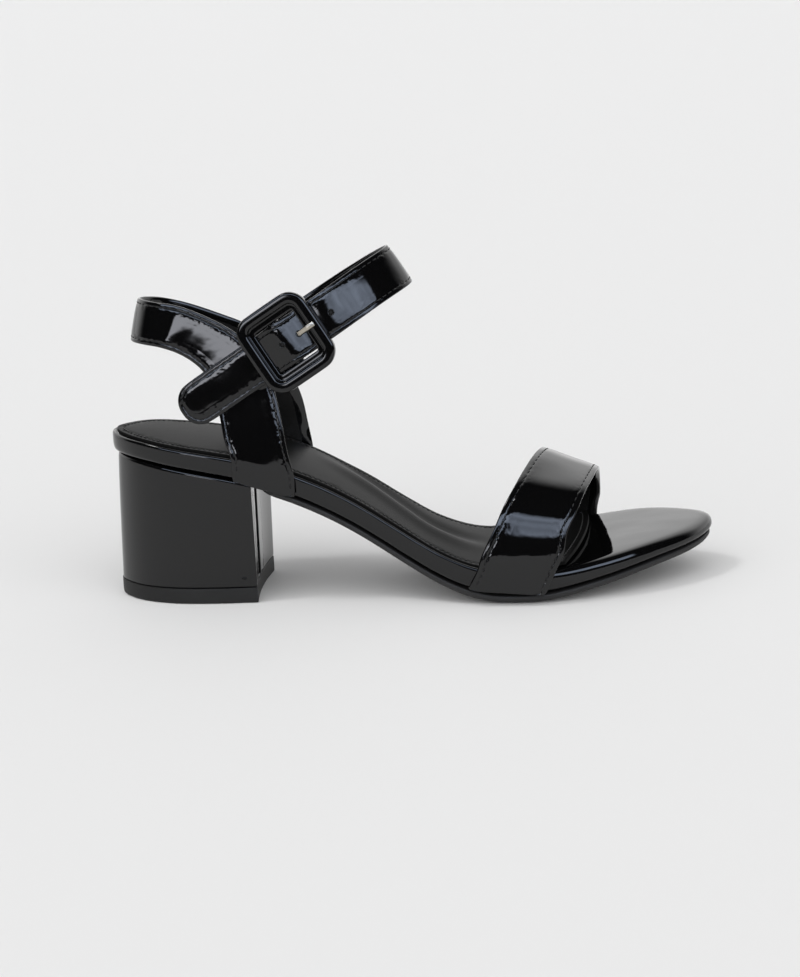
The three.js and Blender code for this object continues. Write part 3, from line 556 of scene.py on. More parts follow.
def press_seam(strap, margin):
    """Insets on the outer face: flat edge, groove, and a slightly raised body."""
    pick(strap, "FACE", lambda face: face.material_index == FACE)
    bpy.ops.mesh.inset(thickness=margin * EDGE_SHARE * MM, depth=EDGE_RISE * MM)
    bpy.ops.mesh.inset(thickness=margin * FLAT_SHARE * MM, depth=0)
    bpy.ops.mesh.inset(thickness=GROOVE_HALF * MM, depth=-GROOVE_DEPTH * MM)
    strap.active_material_index = SEAM
    bpy.ops.object.material_slot_assign()
    bpy.ops.mesh.inset(thickness=GROOVE_HALF * MM, depth=GROOVE_DEPTH * MM)
    bpy.ops.mesh.inset(thickness=CROWN_REACH * MM, depth=CROWN_RISE * MM)
    leave_edit()


def seam_of(strap, keep):
    """Copies the bottom of the groove as a wire, and marks it on the strap for the puckers."""
    kinds = {}
    for face in strap.data.polygons:
        for key in face.edge_keys:
            kinds.setdefault(key, set()).add(face.material_index)
    on_seam = {key for key, kind in kinds.items() if kind == {FACE, SEAM}}
    mark = strap.data.attributes.new("seam", "FLOAT", "POINT")
    ring = {index for key in on_seam for index in key}
    for strength in PUCKER_STRENGTHS:
        for index in ring:
            mark.data[index].value = max(mark.data[index].value, strength)
        ring |= {index for edge in strap.data.edges for index in edge.vertices
                 if set(edge.vertices) & ring}

    def wanted(edge):
        ends = (strap.data.vertices[i].co / MM for i in edge.vertices)
        return edge.key in on_seam and all(keep(end) for end in ends)

    pick(strap, "EDGE", wanted)
    bpy.ops.mesh.duplicate()
    bpy.ops.mesh.separate(type="SELECTED")
    leave_edit()
    wire = [o for o in bpy.context.selected_objects if o is not strap][0]
    for face in strap.data.polygons:
        if face.material_index == SEAM:
            face.material_index = FACE
    strap.data.materials.pop(index=SEAM)
    return wire


# %% Make a strap between two edges
SPARE = 7
TRIM_SHARE, TRIM_EXTRA = 0.62, 2


def with_spare(path, tail):
    """Makes a path longer by a straight step, which is trimmed once the seam is pressed."""
    longer = [path[0] + (path[0] - path[1]).normalized() * SPARE, *path]
    if not tail:
        longer.append(path[-1] + (path[-1] - path[-2]).normalized() * SPARE)
    return longer


def trim_end(strap, edge_a, edge_b, end, inner):
    """Cuts a strap off square at its end row. inner is a row that lies further in."""
    a, b = edge_a[end], edge_b[end]
    middle = (a + b) / 2
    reach = (a - b).length * TRIM_SHARE + TRIM_EXTRA
    outward = (middle - (edge_a[inner] + edge_b[inner]) / 2).normalized()
    across = (b - a).normalized()
    outward = (outward - across * outward.dot(across)).normalized()
    pick(strap, "FACE", lambda face: (face.center / MM - middle).length < reach)
    bpy.ops.mesh.bisect(plane_co=middle * MM, plane_no=outward, clear_outer=True, use_fill=True)
    leave_edit()


def make_strap(name, edge_a, edge_b, hub, thickness, keep, margin=1.9, tail=False):
    """Returns the strap and the wire along its seam, where keep allows it. The strap faces away
    from hub. One with a tail isn't cut off at its far end."""
    strap = join(*(lay_wire(name, with_spare(edge, tail)) for edge in (edge_a, edge_b)))
    open_whole(strap)
    bpy.ops.mesh.bridge_edge_loops(type="SINGLE", interpolation="LINEAR")
    leave_edit()
    facing = sum(face.normal.dot(face.center / MM - hub) * face.area for face in strap.data.polygons)
    if facing < 0:
        strap.data.flip_normals()
    give_slots(strap, patent, lining)
    run_modifier(strap, "SOLIDIFY", thickness=thickness * MM, offset=0, material_offset=BACK,
                 material_offset_rim=EDGE, use_even_offset=True)
    press_seam(strap, margin)
    wire = seam_of(strap, keep)
    trim_end(strap, edge_a, edge_b, 0, 2)
    if not tail:
        trim_end(strap, edge_a, edge_b, -1, -3)
    subdivide(strap, 2)
    return strap, wire


# %% [markdown]
# ## Stitches
# Each stitch is a short thread that dips into the leather at both ends. Drawing them in the material
# would be cheaper, but they catch the light at the strap's edge, so one small bead of thread is
# modelled and laid along the seam with an array and a curve.

# %% Lay stitches along a wire
def lay_stitches(name, wire, target, length=2.0, gap=0.9, width=0.55, lift=0.1):
    run_modifier(wire, "SHRINKWRAP", target=target, wrap_method="NEAREST_SURFACEPOINT",
                 wrap_mode="ABOVE_SURFACE", offset=lift * MM)
    bpy.ops.object.mode_set(mode="EDIT")
    bpy.ops.mesh.separate(type="LOOSE")
    leave_edit()
    rows = []
    for line in list(bpy.context.selected_objects):
        select_only(line)
        bpy.ops.object.convert(target="CURVE")
        line = bpy.context.object
        bpy.ops.mesh.primitive_uv_sphere_add(segments=6, ring_count=5, radius=0.5 * MM)
        stitch = bpy.context.object
        open_whole(stitch)
        bpy.ops.transform.rotate(value=math.pi / 2, orient_axis="Y", center_override=(0, 0, 0))
        bpy.ops.transform.resize(value=(length, width, width), center_override=(0, 0, 0))
        bpy.ops.transform.translate(value=(length / 2 * MM, 0, 0))
        leave_edit()
        run_modifier(stitch, "ARRAY", fit_type="FIT_CURVE", curve=line, use_relative_offset=False,
                     use_constant_offset=True, constant_offset_displace=((length + gap) * MM, 0, 0))
        run_modifier(stitch, "CURVE", object=line, deform_axis="POS_X")
        bpy.data.objects.remove(line)
        rows.append(stitch)
    settle(join(*rows) if len(rows) > 1 else rows[0], name, thread)


# %% [markdown]
# ## Vamp strap
# The wide strap crosses the toes from one side of the board to the other and slants forward to the
# inner side. Its rows give the back and the front edge at eleven places, and its feet lie beside the
# board.

# %% Vamp strap
VAMP_THICKNESS = 2.2
VAMP_RISE = 45
VAMP_FOOT_GAP = 0.45
VAMP_FOOT_LEAN = 4.5
VAMP_MARGIN = 2.5
VAMP_HUB = Vector((143, 0, 10))
FOOT_HIDDEN = 3.2
VAMP_FEET = {-1: (0.604, 0.733), 1: (0.7, 0.811)}
VAMP = [
    (0.611, -0.977, 0.15, 0.746, -0.995, 0.16), (0.633, -0.924, 0.385, 0.752, -0.95, 0.333),
    (0.649, -0.846, 0.562, 0.768, -0.859, 0.493), (0.668, -0.705, 0.713, 0.784, -0.667, 0.638),
    (0.683, -0.513, 0.808, 0.798, -0.397, 0.705), (0.7, -0.256, 0.892, 0.807, -0.103, 0.712),
    (0.712, 0.026, 0.895, 0.811, 0.205, 0.656), (0.716, 0.308, 0.832, 0.813, 0.5, 0.557),
    (0.715, 0.564, 0.702, 0.815, 0.744, 0.415), (0.711, 0.769, 0.529, 0.816, 0.923, 0.262),
    (0.705, 0.923, 0.262, 0.813, 1.033, 0.151),
]


def strap_foot(feet, side, away, lean=0):
    """Rows of a strap's foot, at the board's underside and at its top."""
    def row(height_at, shift):
        ends = []
        for along in feet[side]:
            x = x_at(along) - shift
            ends.append(Vector((x, half_width(along_at(x), side) + side * away, height_at(x))))
        return ends

    return row(board_bottom, lean), row(board_top, 0)


def above_foot(point):
    """The seam ends a little over the underside of the board, where the strap is turned in."""
    return point.z > board_bottom(point.x) + FOOT_HIDDEN


def make_vamp():
    half = BALL_WIDTH / 2
    base = board_top(x_at(VAMP_FEET[1][0]))
    away = VAMP_FOOT_GAP + VAMP_THICKNESS / 2
    outer = strap_foot(VAMP_FEET, -1, away, VAMP_FOOT_LEAN)
    inner = strap_foot(VAMP_FEET, 1, away)
    rows = [*outer]
    for row in VAMP:
        rows.append([Vector((x_at(along), out * half, base + rise * VAMP_RISE))
                     for along, out, rise in (row[:3], row[3:])])
    rows += inner[::-1]
    return make_strap("vamp", *two_edges(rows, 64), VAMP_HUB, VAMP_THICKNESS, above_foot, VAMP_MARGIN)


vamp, vamp_seam = make_vamp()
settle(vamp, "vamp_patent", node="vamp_strap")
lay_stitches("vamp_stitches", vamp_seam, vamp)

# %% [markdown]
# ## Quarters and sling
# One band rises from the outer side of the heel, runs round behind it and comes down on the inner
# side. It leans in with the ankle, so its sides lie on the same slanted plane as the buckle. Each row
# of its table gives the lower and the upper edge, as a reach forward and a rise.

# %% Places on the ankle's sides
ANKLE_REACH = 64
SLING_RISE = 57.5
ANKLE_WIDTH = 43.6
ANKLE_LEAN = 0.19
STRAP_THICKNESS = 2
LAYER_GAP = 0.5
BUCKLE_FORWARD = 44.4
BUCKLE_ABOVE_SEAT = 41.5
STRAP_SLOPE = math.radians(32.5)
SEAT_TOP = board_top(x_at(SEAT_ALONG))
strap_forward = Vector((math.cos(STRAP_SLOPE), 0, math.sin(STRAP_SLOPE)))
strap_upright = Vector((-math.sin(STRAP_SLOPE), 0, math.cos(STRAP_SLOPE)))
buckle_place = Vector((
    BUCKLE_FORWARD,
    -ANKLE_WIDTH / 2 - STRAP_THICKNESS - LAYER_GAP,
    SEAT_TOP + BUCKLE_ABOVE_SEAT,
))


def leaned_upright(inwards):
    return (strap_upright + Vector((0, ANKLE_LEAN * inwards, 0))).normalized()


buckle_up = leaned_upright(1)
buckle_out = strap_forward.cross(buckle_up).normalized()
BUCKLE_TILT = math.radians(-2.5)
BUCKLE_STAND = 0.35
tilted_up = buckle_up * math.cos(BUCKLE_TILT) - buckle_out * math.sin(BUCKLE_TILT)
tilted_out = strap_forward.cross(tilted_up).normalized()
tilted_place = buckle_place + buckle_out * BUCKLE_STAND


def at_buckle(forward, up, out):
    return tilted_place + strap_forward * forward + tilted_up * up + tilted_out * out


def ankle_side(x, z):
    lean_forward = buckle_out.x / buckle_out.y
    lean_up = buckle_out.z / buckle_out.y
    return ANKLE_WIDTH / 2 + lean_forward * (x - buckle_place.x) + lean_up * (z - buckle_place.z)


print("buckle at", [round(v, 1) for v in buckle_place])

# %% Rear band
REAR_HUB = Vector((20, 0, 85))
QUARTER_FEET = {-1: (0.211, 0.313), 1: (0.223, 0.325)}
REAR = [
    (0.282, 0.061, 0.675, -0.026), (0.261, 0.2, 0.653, 0.139), (0.236, 0.348, 0.623, 0.322),
    (0.2, 0.461, 0.581, 0.487), (0.15, 0.541, 0.512, 0.643), (0.081, 0.605, 0.4, 0.774),
    (-0.005, 0.657, 0.203, 0.899), (-0.102, 0.692, 0.016, 0.979), (-0.211, 0.704, -0.128, 1),
    (-0.28, 0.704, -0.207, 1.005), (-0.31, 0.7, -0.246, 1), (-0.28, 0.69, -0.207, 0.985),
    (-0.211, 0.67, -0.128, 0.96), (-0.102, 0.635, 0.016, 0.905), (-0.005, 0.593, 0.203, 0.82),
    (0.086, 0.54, 0.414, 0.704), (0.156, 0.47, 0.523, 0.583), (0.219, 0.374, 0.602, 0.452),
    (0.266, 0.252, 0.656, 0.304), (0.305, 0.113, 0.703, 0.148), (0.328, 0.035, 0.731, -0.052),
]
BACK_ROW = 10
BACK_OUT = {8: (0.59, 0.55), 9: (0.33, 0.32), 10: (0, 0), 11: (0.33, 0.32), 12: (0.59, 0.55)}
FOOT_BLEND = {0: 0.6, 1: 0.3, 2: 0.1, 20: 0.62}


def make_rear_band():
    """The rows lie on the ankle's sides. Those behind the heel have their own distance from the
    middle, and those near a foot are drawn towards it."""
    away = CLEARANCE + STRAP_THICKNESS / 2
    outer, inner = (strap_foot(QUARTER_FEET, side, away) for side in (-1, 1))
    rows = [*outer]
    for i, shares in enumerate(REAR):
        side, foot = (-1, outer[1]) if i < BACK_ROW else (1, inner[1])
        row = []
        for k, (x_share, rise) in enumerate((shares[:2], shares[2:])):
            x = x_share * ANKLE_REACH
            z = SEAT_TOP + rise * SLING_RISE
            y = side * (BACK_OUT[i][k] * ANKLE_WIDTH / 2 if i in BACK_OUT else ankle_side(x, z))
            row.append(Vector((x, y + (foot[k].y - y) * FOOT_BLEND.get(i, 0), z)))
        rows.append(row)
    rows += inner[::-1]
    return make_strap("rear", *two_edges(rows, 100), REAR_HUB, STRAP_THICKNESS, above_foot)


rear, rear_seam = make_rear_band()
settle(rear, "quarters_and_sling", node="rear_upper")
lay_stitches("rear_stitches", rear_seam, rear)

# %% [markdown]
# ## Ankle strap
# The ankle strap starts on the inner quarter, turns round the front of the ankle, humps over the
# buckle's bar and ends in a round tail on the outer side. It is one long strip between two wires, so
# its seam runs round the tail in one line.

# %% Ankle strap
LOOP_LENGTH = 51
LOOP_DROP = 1.8
ROOT_SUNK = 0.4
ANKLE_STRAP_WIDTH = 18
STRAP_END = 50.5
STRAP_CROWN = 0.3
ANKLE_HUB = Vector((45, 0, 110))
HUMP_STEPS = [13 - 1.25 * k for k in range(21)]
TAIL_STEPS = range(-15, -40, -4)
TIP_TURNS = (12, 25, 38, 50, 61, 71, 80, 87)
TIP_SHARE = 0.92
BAR_RADIUS = 1
LOOP_WALL = 1
FRAME_LENGTH = 30.6
FRAME_WIDTH = 33
FRAME_BAR = 4.6
FRAME_HEIGHT = 3.4
FRAME_SHIFT = 0.6
quarter_out = -(STRAP_THICKNESS + LAYER_GAP)
tab_thickness = STRAP_THICKNESS * 0.75
ring_radius = BAR_RADIUS + CLEARANCE + LOOP_WALL
bar_out = quarter_out - tab_thickness / 2 + ring_radius
hump_rise = bar_out + ring_radius + CLEARANCE + STRAP_THICKNESS / 2
hump_reach = FRAME_LENGTH / 2 - FRAME_BAR
frame_under = STRAP_THICKNESS / 2 + STRAP_CROWN + CLEARANCE
LOOP = [
    (-0.487, 1), (-0.28, 1), (0.08, 1), (0.325, 0.985), (0.527, 0.946), (0.69, 0.88),
    (0.822, 0.793), (0.919, 0.697), (0.982, 0.601), (1, 0.508), (0.982, 0.414), (0.923, 0.318),
    (0.832, 0.218), (0.71, 0.122), (0.568, 0.048), (0.406, 0.007), (0.3, 0),
]


def smooth_step(value, start, end):
    """Rises smoothly from 0 at the start to 1 at the end."""
    share = min(max((value - start) / (end - start), 0), 1)
    return share * share * (3 - 2 * share)


def strap_hump(forward):
    return hump_rise * (1 - smooth_step(abs(forward), 0, hump_reach))


def off_quarter(point):
    """The seam isn't laid where the strap's root lies on the inner quarter."""
    return point.y < 20 or point.x > 24


def make_ankle_strap():
    across = ANKLE_WIDTH + STRAP_THICKNESS + LAYER_GAP
    half = ANKLE_STRAP_WIDTH / 2
    course = [Vector((along * LOOP_LENGTH, share * across)) for along, share in LOOP]
    low, high = [], []
    for i, point in enumerate(course):
        before, after = course[max(i - 1, 0)], course[min(i + 1, len(course) - 1)]
        up = leaned_upright(-(after.x - before.x) / (after - before).length)
        middle = buckle_place + strap_forward * point.x
        middle -= strap_upright * LOOP_DROP * smooth_step(LOOP[i][1], 0, 0.5)
        middle.y += point.y - (ROOT_SUNK if point.x < 0 else 0)
        low.append(middle - up * half)
        high.append(middle + up * half)
    low, high = smooth_path(low, 70), smooth_path(high, 70)
    spans = [(forward, half) for forward in (*HUMP_STEPS, *TAIL_STEPS)]
    tip_radius = half * TIP_SHARE
    for angle in map(math.radians, TIP_TURNS):
        spans.append((-STRAP_END + tip_radius * (1 - math.sin(angle)),
                      half - tip_radius * (1 - math.cos(angle))))
    for edge, side in ((low, -1), (high, 1)):
        edge += [at_buckle(along, side * reach, strap_hump(along)) for along, reach in spans]
    return make_strap("ankle", low, high, ANKLE_HUB, STRAP_THICKNESS, off_quarter, tail=True)


# %% Holes of the ankle strap
HOLES = {22.1: 1.1, 7.0: 1.1, -0.9: 1.0, -9: 0.7}
HOLE_SIDES = 28
HOLE_DEPTH, HOLE_SUNK = 0.3, 0.11
RIM_OVER, RIM_WALL = 0.1, 0.22
HOLE_OVER = 0.06


def punch_holes(strap):
    """Lays a pressed rim on the strap at each place, with the radius given there, and inside it a dark
    matte disc that is painted shade for the hole.
    """
    holes = []
    for forward, radius in HOLES.items():
        place, normal = strap.closest_point_on_mesh(at_buckle(forward, 0, 3) * MM)[1:3]
        turn = normal.to_track_quat("Z", "Y").to_euler()
        bpy.ops.mesh.primitive_torus_add(major_radius=(radius + RIM_OVER) * MM,
                                         minor_radius=RIM_WALL * MM, major_segments=HOLE_SIDES,
                                         minor_segments=8, location=place, rotation=turn)
        rim = bpy.context.object
        # The strap isn't cut through: the dark disc is painted shade for the inside of the hole.
        bpy.ops.mesh.primitive_cylinder_add(vertices=HOLE_SIDES, radius=(radius + HOLE_OVER) * MM,
                                            depth=HOLE_DEPTH * MM, rotation=turn,
                                            location=place - normal * HOLE_SUNK * MM)
        hole_shade = bpy.context.object
        rim.data.materials.append(patent)
        hole_shade.data.materials.append(lining)
        holes += [hole_shade, rim]
    return join(*holes)


ankle, ankle_seam = make_ankle_strap()
settle(ankle, "ankle_strap", node="rear_upper")
settle(punch_holes(ankle), "strap_holes")
lay_stitches("ankle_stitches", ankle_seam, ankle)

# %% [markdown]
# ## Buckle
# The frame is a rounded square with a domed section, a low ledge inside and its own bar. It could be
# a bevelled curve, but then the ledge would need a second one. So it starts as a plane whose corners
# are bevelled. Two insets give the ledge and the opening, and the rim is raised and rounded. The
# prong is a flat strip that starts at an eye round the bar and comes to rest on the frame.

# %% Buckle frame and bar
def into_buckle(piece):
    """Moves a piece that was made at the origin, in millimetres, to the buckle's place."""
    turn = Matrix((strap_forward, tilted_up, tilted_out)).transposed().to_4x4()
    piece.matrix_world = Matrix.Translation(tilted_place * MM) @ turn @ Matrix.Scale(MM, 4)
    apply_place(piece)


FRAME_FLOW = 0.5
FRAME_CORNER = 7.8
FRAME_LEDGE = 2.0
LEDGE_OPENING = 19
LEDGE_HEIGHT = 0.8
RIM, LEDGE = 0, 1
RIM_RADIUS = 1.15
POST_LENGTH, POST_WIDTH, POST_RISE = 2.6, 2.2, 1.7


def make_frame():
    bpy.ops.mesh.primitive_plane_add(size=1)
    piece = bpy.context.object
    for _ in (RIM, LEDGE):
        piece.data.materials.append(frame_gloss)
    open_whole(piece)
    bpy.ops.transform.resize(value=(FRAME_LENGTH + 2 * FRAME_FLOW, FRAME_WIDTH + 2 * FRAME_FLOW, 1))
    bpy.ops.mesh.bevel(offset=FRAME_CORNER, offset_type="OFFSET", segments=8, profile=0.5,
                       affect="VERTICES")
    bpy.ops.mesh.inset(thickness=FRAME_BAR)
    piece.active_material_index = LEDGE
    bpy.ops.object.material_slot_assign()
    bpy.ops.mesh.inset(thickness=FRAME_LEDGE)
    opening = FRAME_WIDTH + 2 * (FRAME_FLOW - FRAME_BAR - FRAME_LEDGE)
    bpy.ops.transform.resize(value=(1, LEDGE_OPENING / opening, 1))
    bpy.ops.mesh.delete(type="FACE")
    leave_edit()
    run_modifier(piece, "SOLIDIFY", thickness=LEDGE_HEIGHT, offset=1)
    pick(piece, "FACE", lambda face: face.normal.z > 0.9 and face.material_index == RIM)
    raise_rim = {"value": (0, 0, FRAME_HEIGHT - LEDGE_HEIGHT)}
    bpy.ops.mesh.extrude_region_move(TRANSFORM_OT_translate=raise_rim)
    bpy.ops.mesh.region_to_loop()
    bpy.ops.mesh.bevel(offset=RIM_RADIUS, segments=4, profile=0.5)
    bpy.ops.mesh.select_all(action="SELECT")
    bpy.ops.transform.translate(value=(FRAME_SHIFT, 0, frame_under))
    leave_edit()
    round_edges(piece, 0.25, over=60)
    subdivide(piece, 1)
    return piece


def make_bar():
    reach = FRAME_WIDTH / 2 - FRAME_BAR / 2
    bpy.ops.mesh.primitive_cylinder_add(vertices=20, radius=BAR_RADIUS, depth=2 * reach,
                                        location=(0, 0, bar_out), rotation=(math.pi / 2, 0, 0))
    bar = bpy.context.object
    apply_place(bar)
    top = frame_under + POST_RISE
    posts = []
    for side in (-1, 1):
        bpy.ops.mesh.primitive_cube_add(size=1, location=(0, side * reach, (bar_out + top) / 2))
        post = bpy.context.object
        post.scale = (POST_LENGTH, POST_WIDTH, top - bar_out + POST_WIDTH)
        apply_place(post)
        round_edges(post, 0.5)
        posts.append(post)
    return join(*posts, bar)


buckle = make_frame()
join(make_bar(), buckle)
into_buckle(buckle)
settle(buckle, "buckle_frame_gloss", frame_gloss, "buckle_frame")

# %% Prong
PRONG_WIDTH = 2
PRONG_THICKNESS = 1.3
PRONG_SUNK = 1
PRONG_END = 1.5
PRONG_DIP, PRONG_CLIMB = 3.4, 7.6
EYE_WALL, EYE_STRETCH = 0.5, 1.9
loop_radius = BAR_RADIUS + CLEARANCE + LOOP_WALL / 2


def make_strip(course, low, high, thickness, edge_radius):
    """A flat strip bent along a course of forward and outward places, from low to high."""
    strip = lay_wire("strip", [Vector((forward, low, out)) / MM for forward, out in course])
    open_whole(strip)
    bpy.ops.mesh.extrude_region_move(TRANSFORM_OT_translate={"value": (0, high - low, 0)})
    bpy.ops.mesh.select_all(action="SELECT")
    bpy.ops.mesh.normals_make_consistent(inside=False)
    leave_edit()
    run_modifier(strip, "SOLIDIFY", thickness=thickness, offset=0)
    round_edges(strip, edge_radius)
    return strip


def make_prong():
    half = PRONG_THICKNESS / 2
    rest_out = frame_under + FRAME_HEIGHT - PRONG_SUNK + CLEARANCE + half
    front = FRAME_SHIFT + FRAME_LENGTH / 2
    course = [
        (ring_radius * 0.8, bar_out + CLEARANCE), (PRONG_DIP, 0),
        (PRONG_CLIMB, STRAP_THICKNESS + half + 0.1),
        (front - FRAME_BAR - 0.4, rest_out), (front - PRONG_END, rest_out),
    ]
    strip = make_strip(course, -PRONG_WIDTH / 2, PRONG_WIDTH / 2, PRONG_THICKNESS, 0.3)
    bpy.ops.mesh.primitive_torus_add(major_radius=loop_radius, minor_radius=EYE_WALL,
                                     major_segments=24, minor_segments=10,
                                     location=(0, 0, bar_out), rotation=(math.pi / 2, 0, 0))
    eye = bpy.context.object
    eye.scale = (1, 1, EYE_STRETCH)
    return join(eye, strip)


prong = make_prong()
into_buckle(prong)
settle(prong, "prong", prong_metal, "buckle_prong")

# %% [markdown]
# ## Buckle tab
# The buckle hangs on a short tab that is sewn to the outer quarter, runs under the strap and turns
# round the bar on both sides of the prong. It is three strips, made as the prong's is: one flat and
# two loops.

# %% Buckle tab
TAB_HALF, TAB_FLAT_TOP, TAB_LENGTH, PRONG_SLOT = 10.2, 8.4, 25, 3
TAB_LIFT, TAB_FLAT_WALL = 1.35, 0.7
TAB_FLAT_END, LOOP_START = -2.6, -3
TAB_ROUND = 0.35


def make_tab():
    turns = [math.radians(15 * k) for k in range(16)]
    loop = [(math.sin(a) * loop_radius, bar_out - math.cos(a) * loop_radius) for a in turns]
    loop.insert(0, (LOOP_START, quarter_out))
    tab_out = quarter_out + TAB_LIFT
    flat = make_strip([(-TAB_LENGTH, tab_out), (TAB_FLAT_END, tab_out)], -TAB_HALF, TAB_FLAT_TOP,
                      TAB_FLAT_WALL, TAB_ROUND)
    lower = make_strip(loop, -TAB_HALF, -PRONG_SLOT / 2, LOOP_WALL, TAB_ROUND)
    upper = make_strip(loop, PRONG_SLOT / 2, TAB_HALF, LOOP_WALL, TAB_ROUND)
    tab = join(lower, upper, flat)
    run_modifier(tab, "WELD", merge_threshold=0.01)
    return tab


tab = make_tab()
into_buckle(tab)
settle(tab, "buckle_tab", patent, "rear_upper")

# %% [markdown]
# ## Sock
# The sock is a thin piece of soft matt material glued on the board, with a stitched edge and a low
# pad moulded under the arch. It could be a copy of the board's face, but a piece cut flat can have
# its seam pressed first. Then it is laid on the board by formula and given its thickness.

# %% Sock, cut flat
SOCK_MARGIN = 2.3
SOCK_END = {-1: 0.748, 1: 0.793}
SOCK_BOW = 3.5
SOCK_STEPS, BOW_STEPS = 60, 12
SOCK_CUTS_X = [-26 + 3.6 * k for k in range(52)]
SOCK_CUTS_Y = [3 * k + 0.3 for k in range(-13, 14)]
CUT_HEIGHT = 120
SOCK_EDGE, SOCK_FLAT, SEAM_HALF, SOCK_BODY = 0.5, 1.7, 0.25, 1.2


def sock_side(side):
    points = []
    for k in range(SOCK_STEPS + 1):
        along = SOCK_END[side] * (1 - math.cos(math.pi * k / SOCK_STEPS / 2))
        points.append(outline_point(along, side, SOCK_MARGIN))
    return points


def sock_outline():
    """Both sides of the sock, joined by a bow under the vamp strap."""
    outer, inner = sock_side(-1), sock_side(1)
    bow = []
    for k in range(1, BOW_STEPS):
        share = k / BOW_STEPS
        point = outer[-1].lerp(inner[-1], share)
        point.x += SOCK_BOW * (1 - (2 * share - 1) ** 2)
        bow.append(point)
    return outer + bow + inner[:0:-1]


def cut_at(places, axis):
    """Cuts an open piece across an axis, so that it can bend."""
    for place in places:
        bpy.ops.mesh.select_all(action="SELECT")
        bpy.ops.mesh.bisect(plane_co=[place * MM * part for part in axis], plane_no=axis)


def make_sock():
    raised = [point + Vector((0, 0, CUT_HEIGHT)) for point in sock_outline()]
    sock = lay_wire("sock", raised, closed=True)
    open_whole(sock)
    bpy.ops.mesh.edge_face_add()
    leave_edit()
    if sock.data.polygons[0].normal.z < 0:
        sock.data.flip_normals()
    give_slots(sock, sock_leather, sock_leather)
    pick(sock, "FACE", lambda face: True)
    for width in (SOCK_EDGE, SOCK_FLAT, SEAM_HALF):
        bpy.ops.mesh.inset(thickness=width * MM)
    sock.active_material_index = SEAM
    bpy.ops.object.material_slot_assign()
    for width in (SEAM_HALF, SOCK_BODY):
        bpy.ops.mesh.inset(thickness=width * MM)
    cut_at(SOCK_CUTS_X, (1, 0, 0))
    cut_at(SOCK_CUTS_Y, (0, 1, 0))
    bpy.ops.mesh.select_all(action="SELECT")
    bpy.ops.mesh.remove_doubles(threshold=0.02 * MM)
    leave_edit()
    return sock


sock = make_sock()
sock_seam = seam_of(sock, lambda point: True)
print("sock flat:", len(sock.data.polygons), "faces")

# %% Sock, laid on the board
SOCK_THICKNESS, SOCK_GAP = 1.4, 0.55
SOCK_CROWN, SOCK_GROOVE = 0.7, 0.25
BEAD_HEIGHT = 1.2
BEAD_FADE, BEAD_END = 0.58, 0.76
PAD_START, PAD_FULL, PAD_FADE, PAD_END = 48, 75, 100, 125
CREST_START = (57, 9)
CREST_SLANT = -0.44
CREST_LAST = -8
CREST_RISE, CREST_REACH = 1.4, 7
TROUGH_DROP, TROUGH_REACH, TROUGH_AWAY = 1.5, 6, 9


def arch_relief(x, y):
    """The pad moulded under the arch: a soft ridge that slants across, and a trough beyond it."""
    height = smooth_step(x, PAD_START, PAD_FULL) * (1 - smooth_step(x, PAD_FADE, PAD_END))
    crest = max(CREST_START[1] + CREST_SLANT * (x - CREST_START[0]), CREST_LAST)
    ridge = math.exp(-(((y - crest) / CREST_REACH) ** 2))
    trough = math.exp(-(((y - crest - TROUGH_AWAY) / TROUGH_REACH) ** 2))
    return height * (CREST_RISE * ridge - TROUGH_DROP * trough)


def sock_height(point):
    """Height of the sock's top over the floor: the board's face, its clearance and thickness, a
    slight crown and the pad under the arch."""
    x, y = point.x / MM, point.y / MM
    along = along_at(x)
    bead = 1 - smooth_step(along, BEAD_FADE, BEAD_END)
    lateral, medial = (read_table(OUTLINE, column, along) for column in (LATERAL, MEDIAL))
    wide = BALL_WIDTH * (lateral + medial) / 2
    middle = BALL_WIDTH * (medial - lateral) / 2
    share = min(abs(y - middle) / max(wide, 1), 1)
    crown = SOCK_CROWN * min(wide / 20, 1) * (1 - share**2)
    top = board_top(x) - BEAD_HEIGHT * bead + SOCK_GAP + SOCK_THICKNESS
    return (top + crown + arch_relief(x, y)) * MM


for vertex in sock.data.vertices:
    on_seam = sock.data.attributes["seam"].data[vertex.index].value > 0.5
    vertex.co.z = sock_height(vertex.co) - (SOCK_GROOVE * MM if on_seam else 0)
for vertex in sock_seam.data.vertices:
    vertex.co.z = sock_height(vertex.co) - SOCK_GROOVE * MM
run_modifier(sock, "SOLIDIFY", thickness=SOCK_THICKNESS * MM, offset=-1, material_offset=0)
round_edges(sock, 0.35 * MM, over=50)
settle(sock, "sock", sock_leather, "sock_pad")
lay_stitches("sock_stitches", sock_seam, sock,
             length=1.5, gap=0.7, width=0.6, lift=0.14)

# %% [markdown]
# ## Floor and light
# The photograph was taken on a white sweep with large soft lights. A white floor gives the pale
# reflections in the low sides. The patent shows whatever stands round it, so the surroundings are
# painted by direction: white behind, dark on the camera's side, and soft bluish boxes of light. The
# high boxes are a little cloudy, as the cloth of a real one is.

# %% Floor
def make_floor():
    bpy.ops.mesh.primitive_grid_add(x_subdivisions=4, y_subdivisions=4, size=40)
    floor = bpy.context.object
    floor.name = "floor"
    material, _, shader = new_material("floor white", (0.8, 0.8, 0.8), 0.7)
    shader.inputs["Specular IOR Level"].default_value = 0.2
    floor.data.materials.append(material)
    floor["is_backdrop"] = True
    print("floor", len(floor.data.polygons), "faces")


make_floor()

# %% Surroundings
def soft_edge(tree, value, start, end):
    node = add_node(tree, "MapRange", Value=value, From_Min=start, From_Max=end)
    node.interpolation_type = "SMOOTHSTEP"
    return node.outputs["Result"]


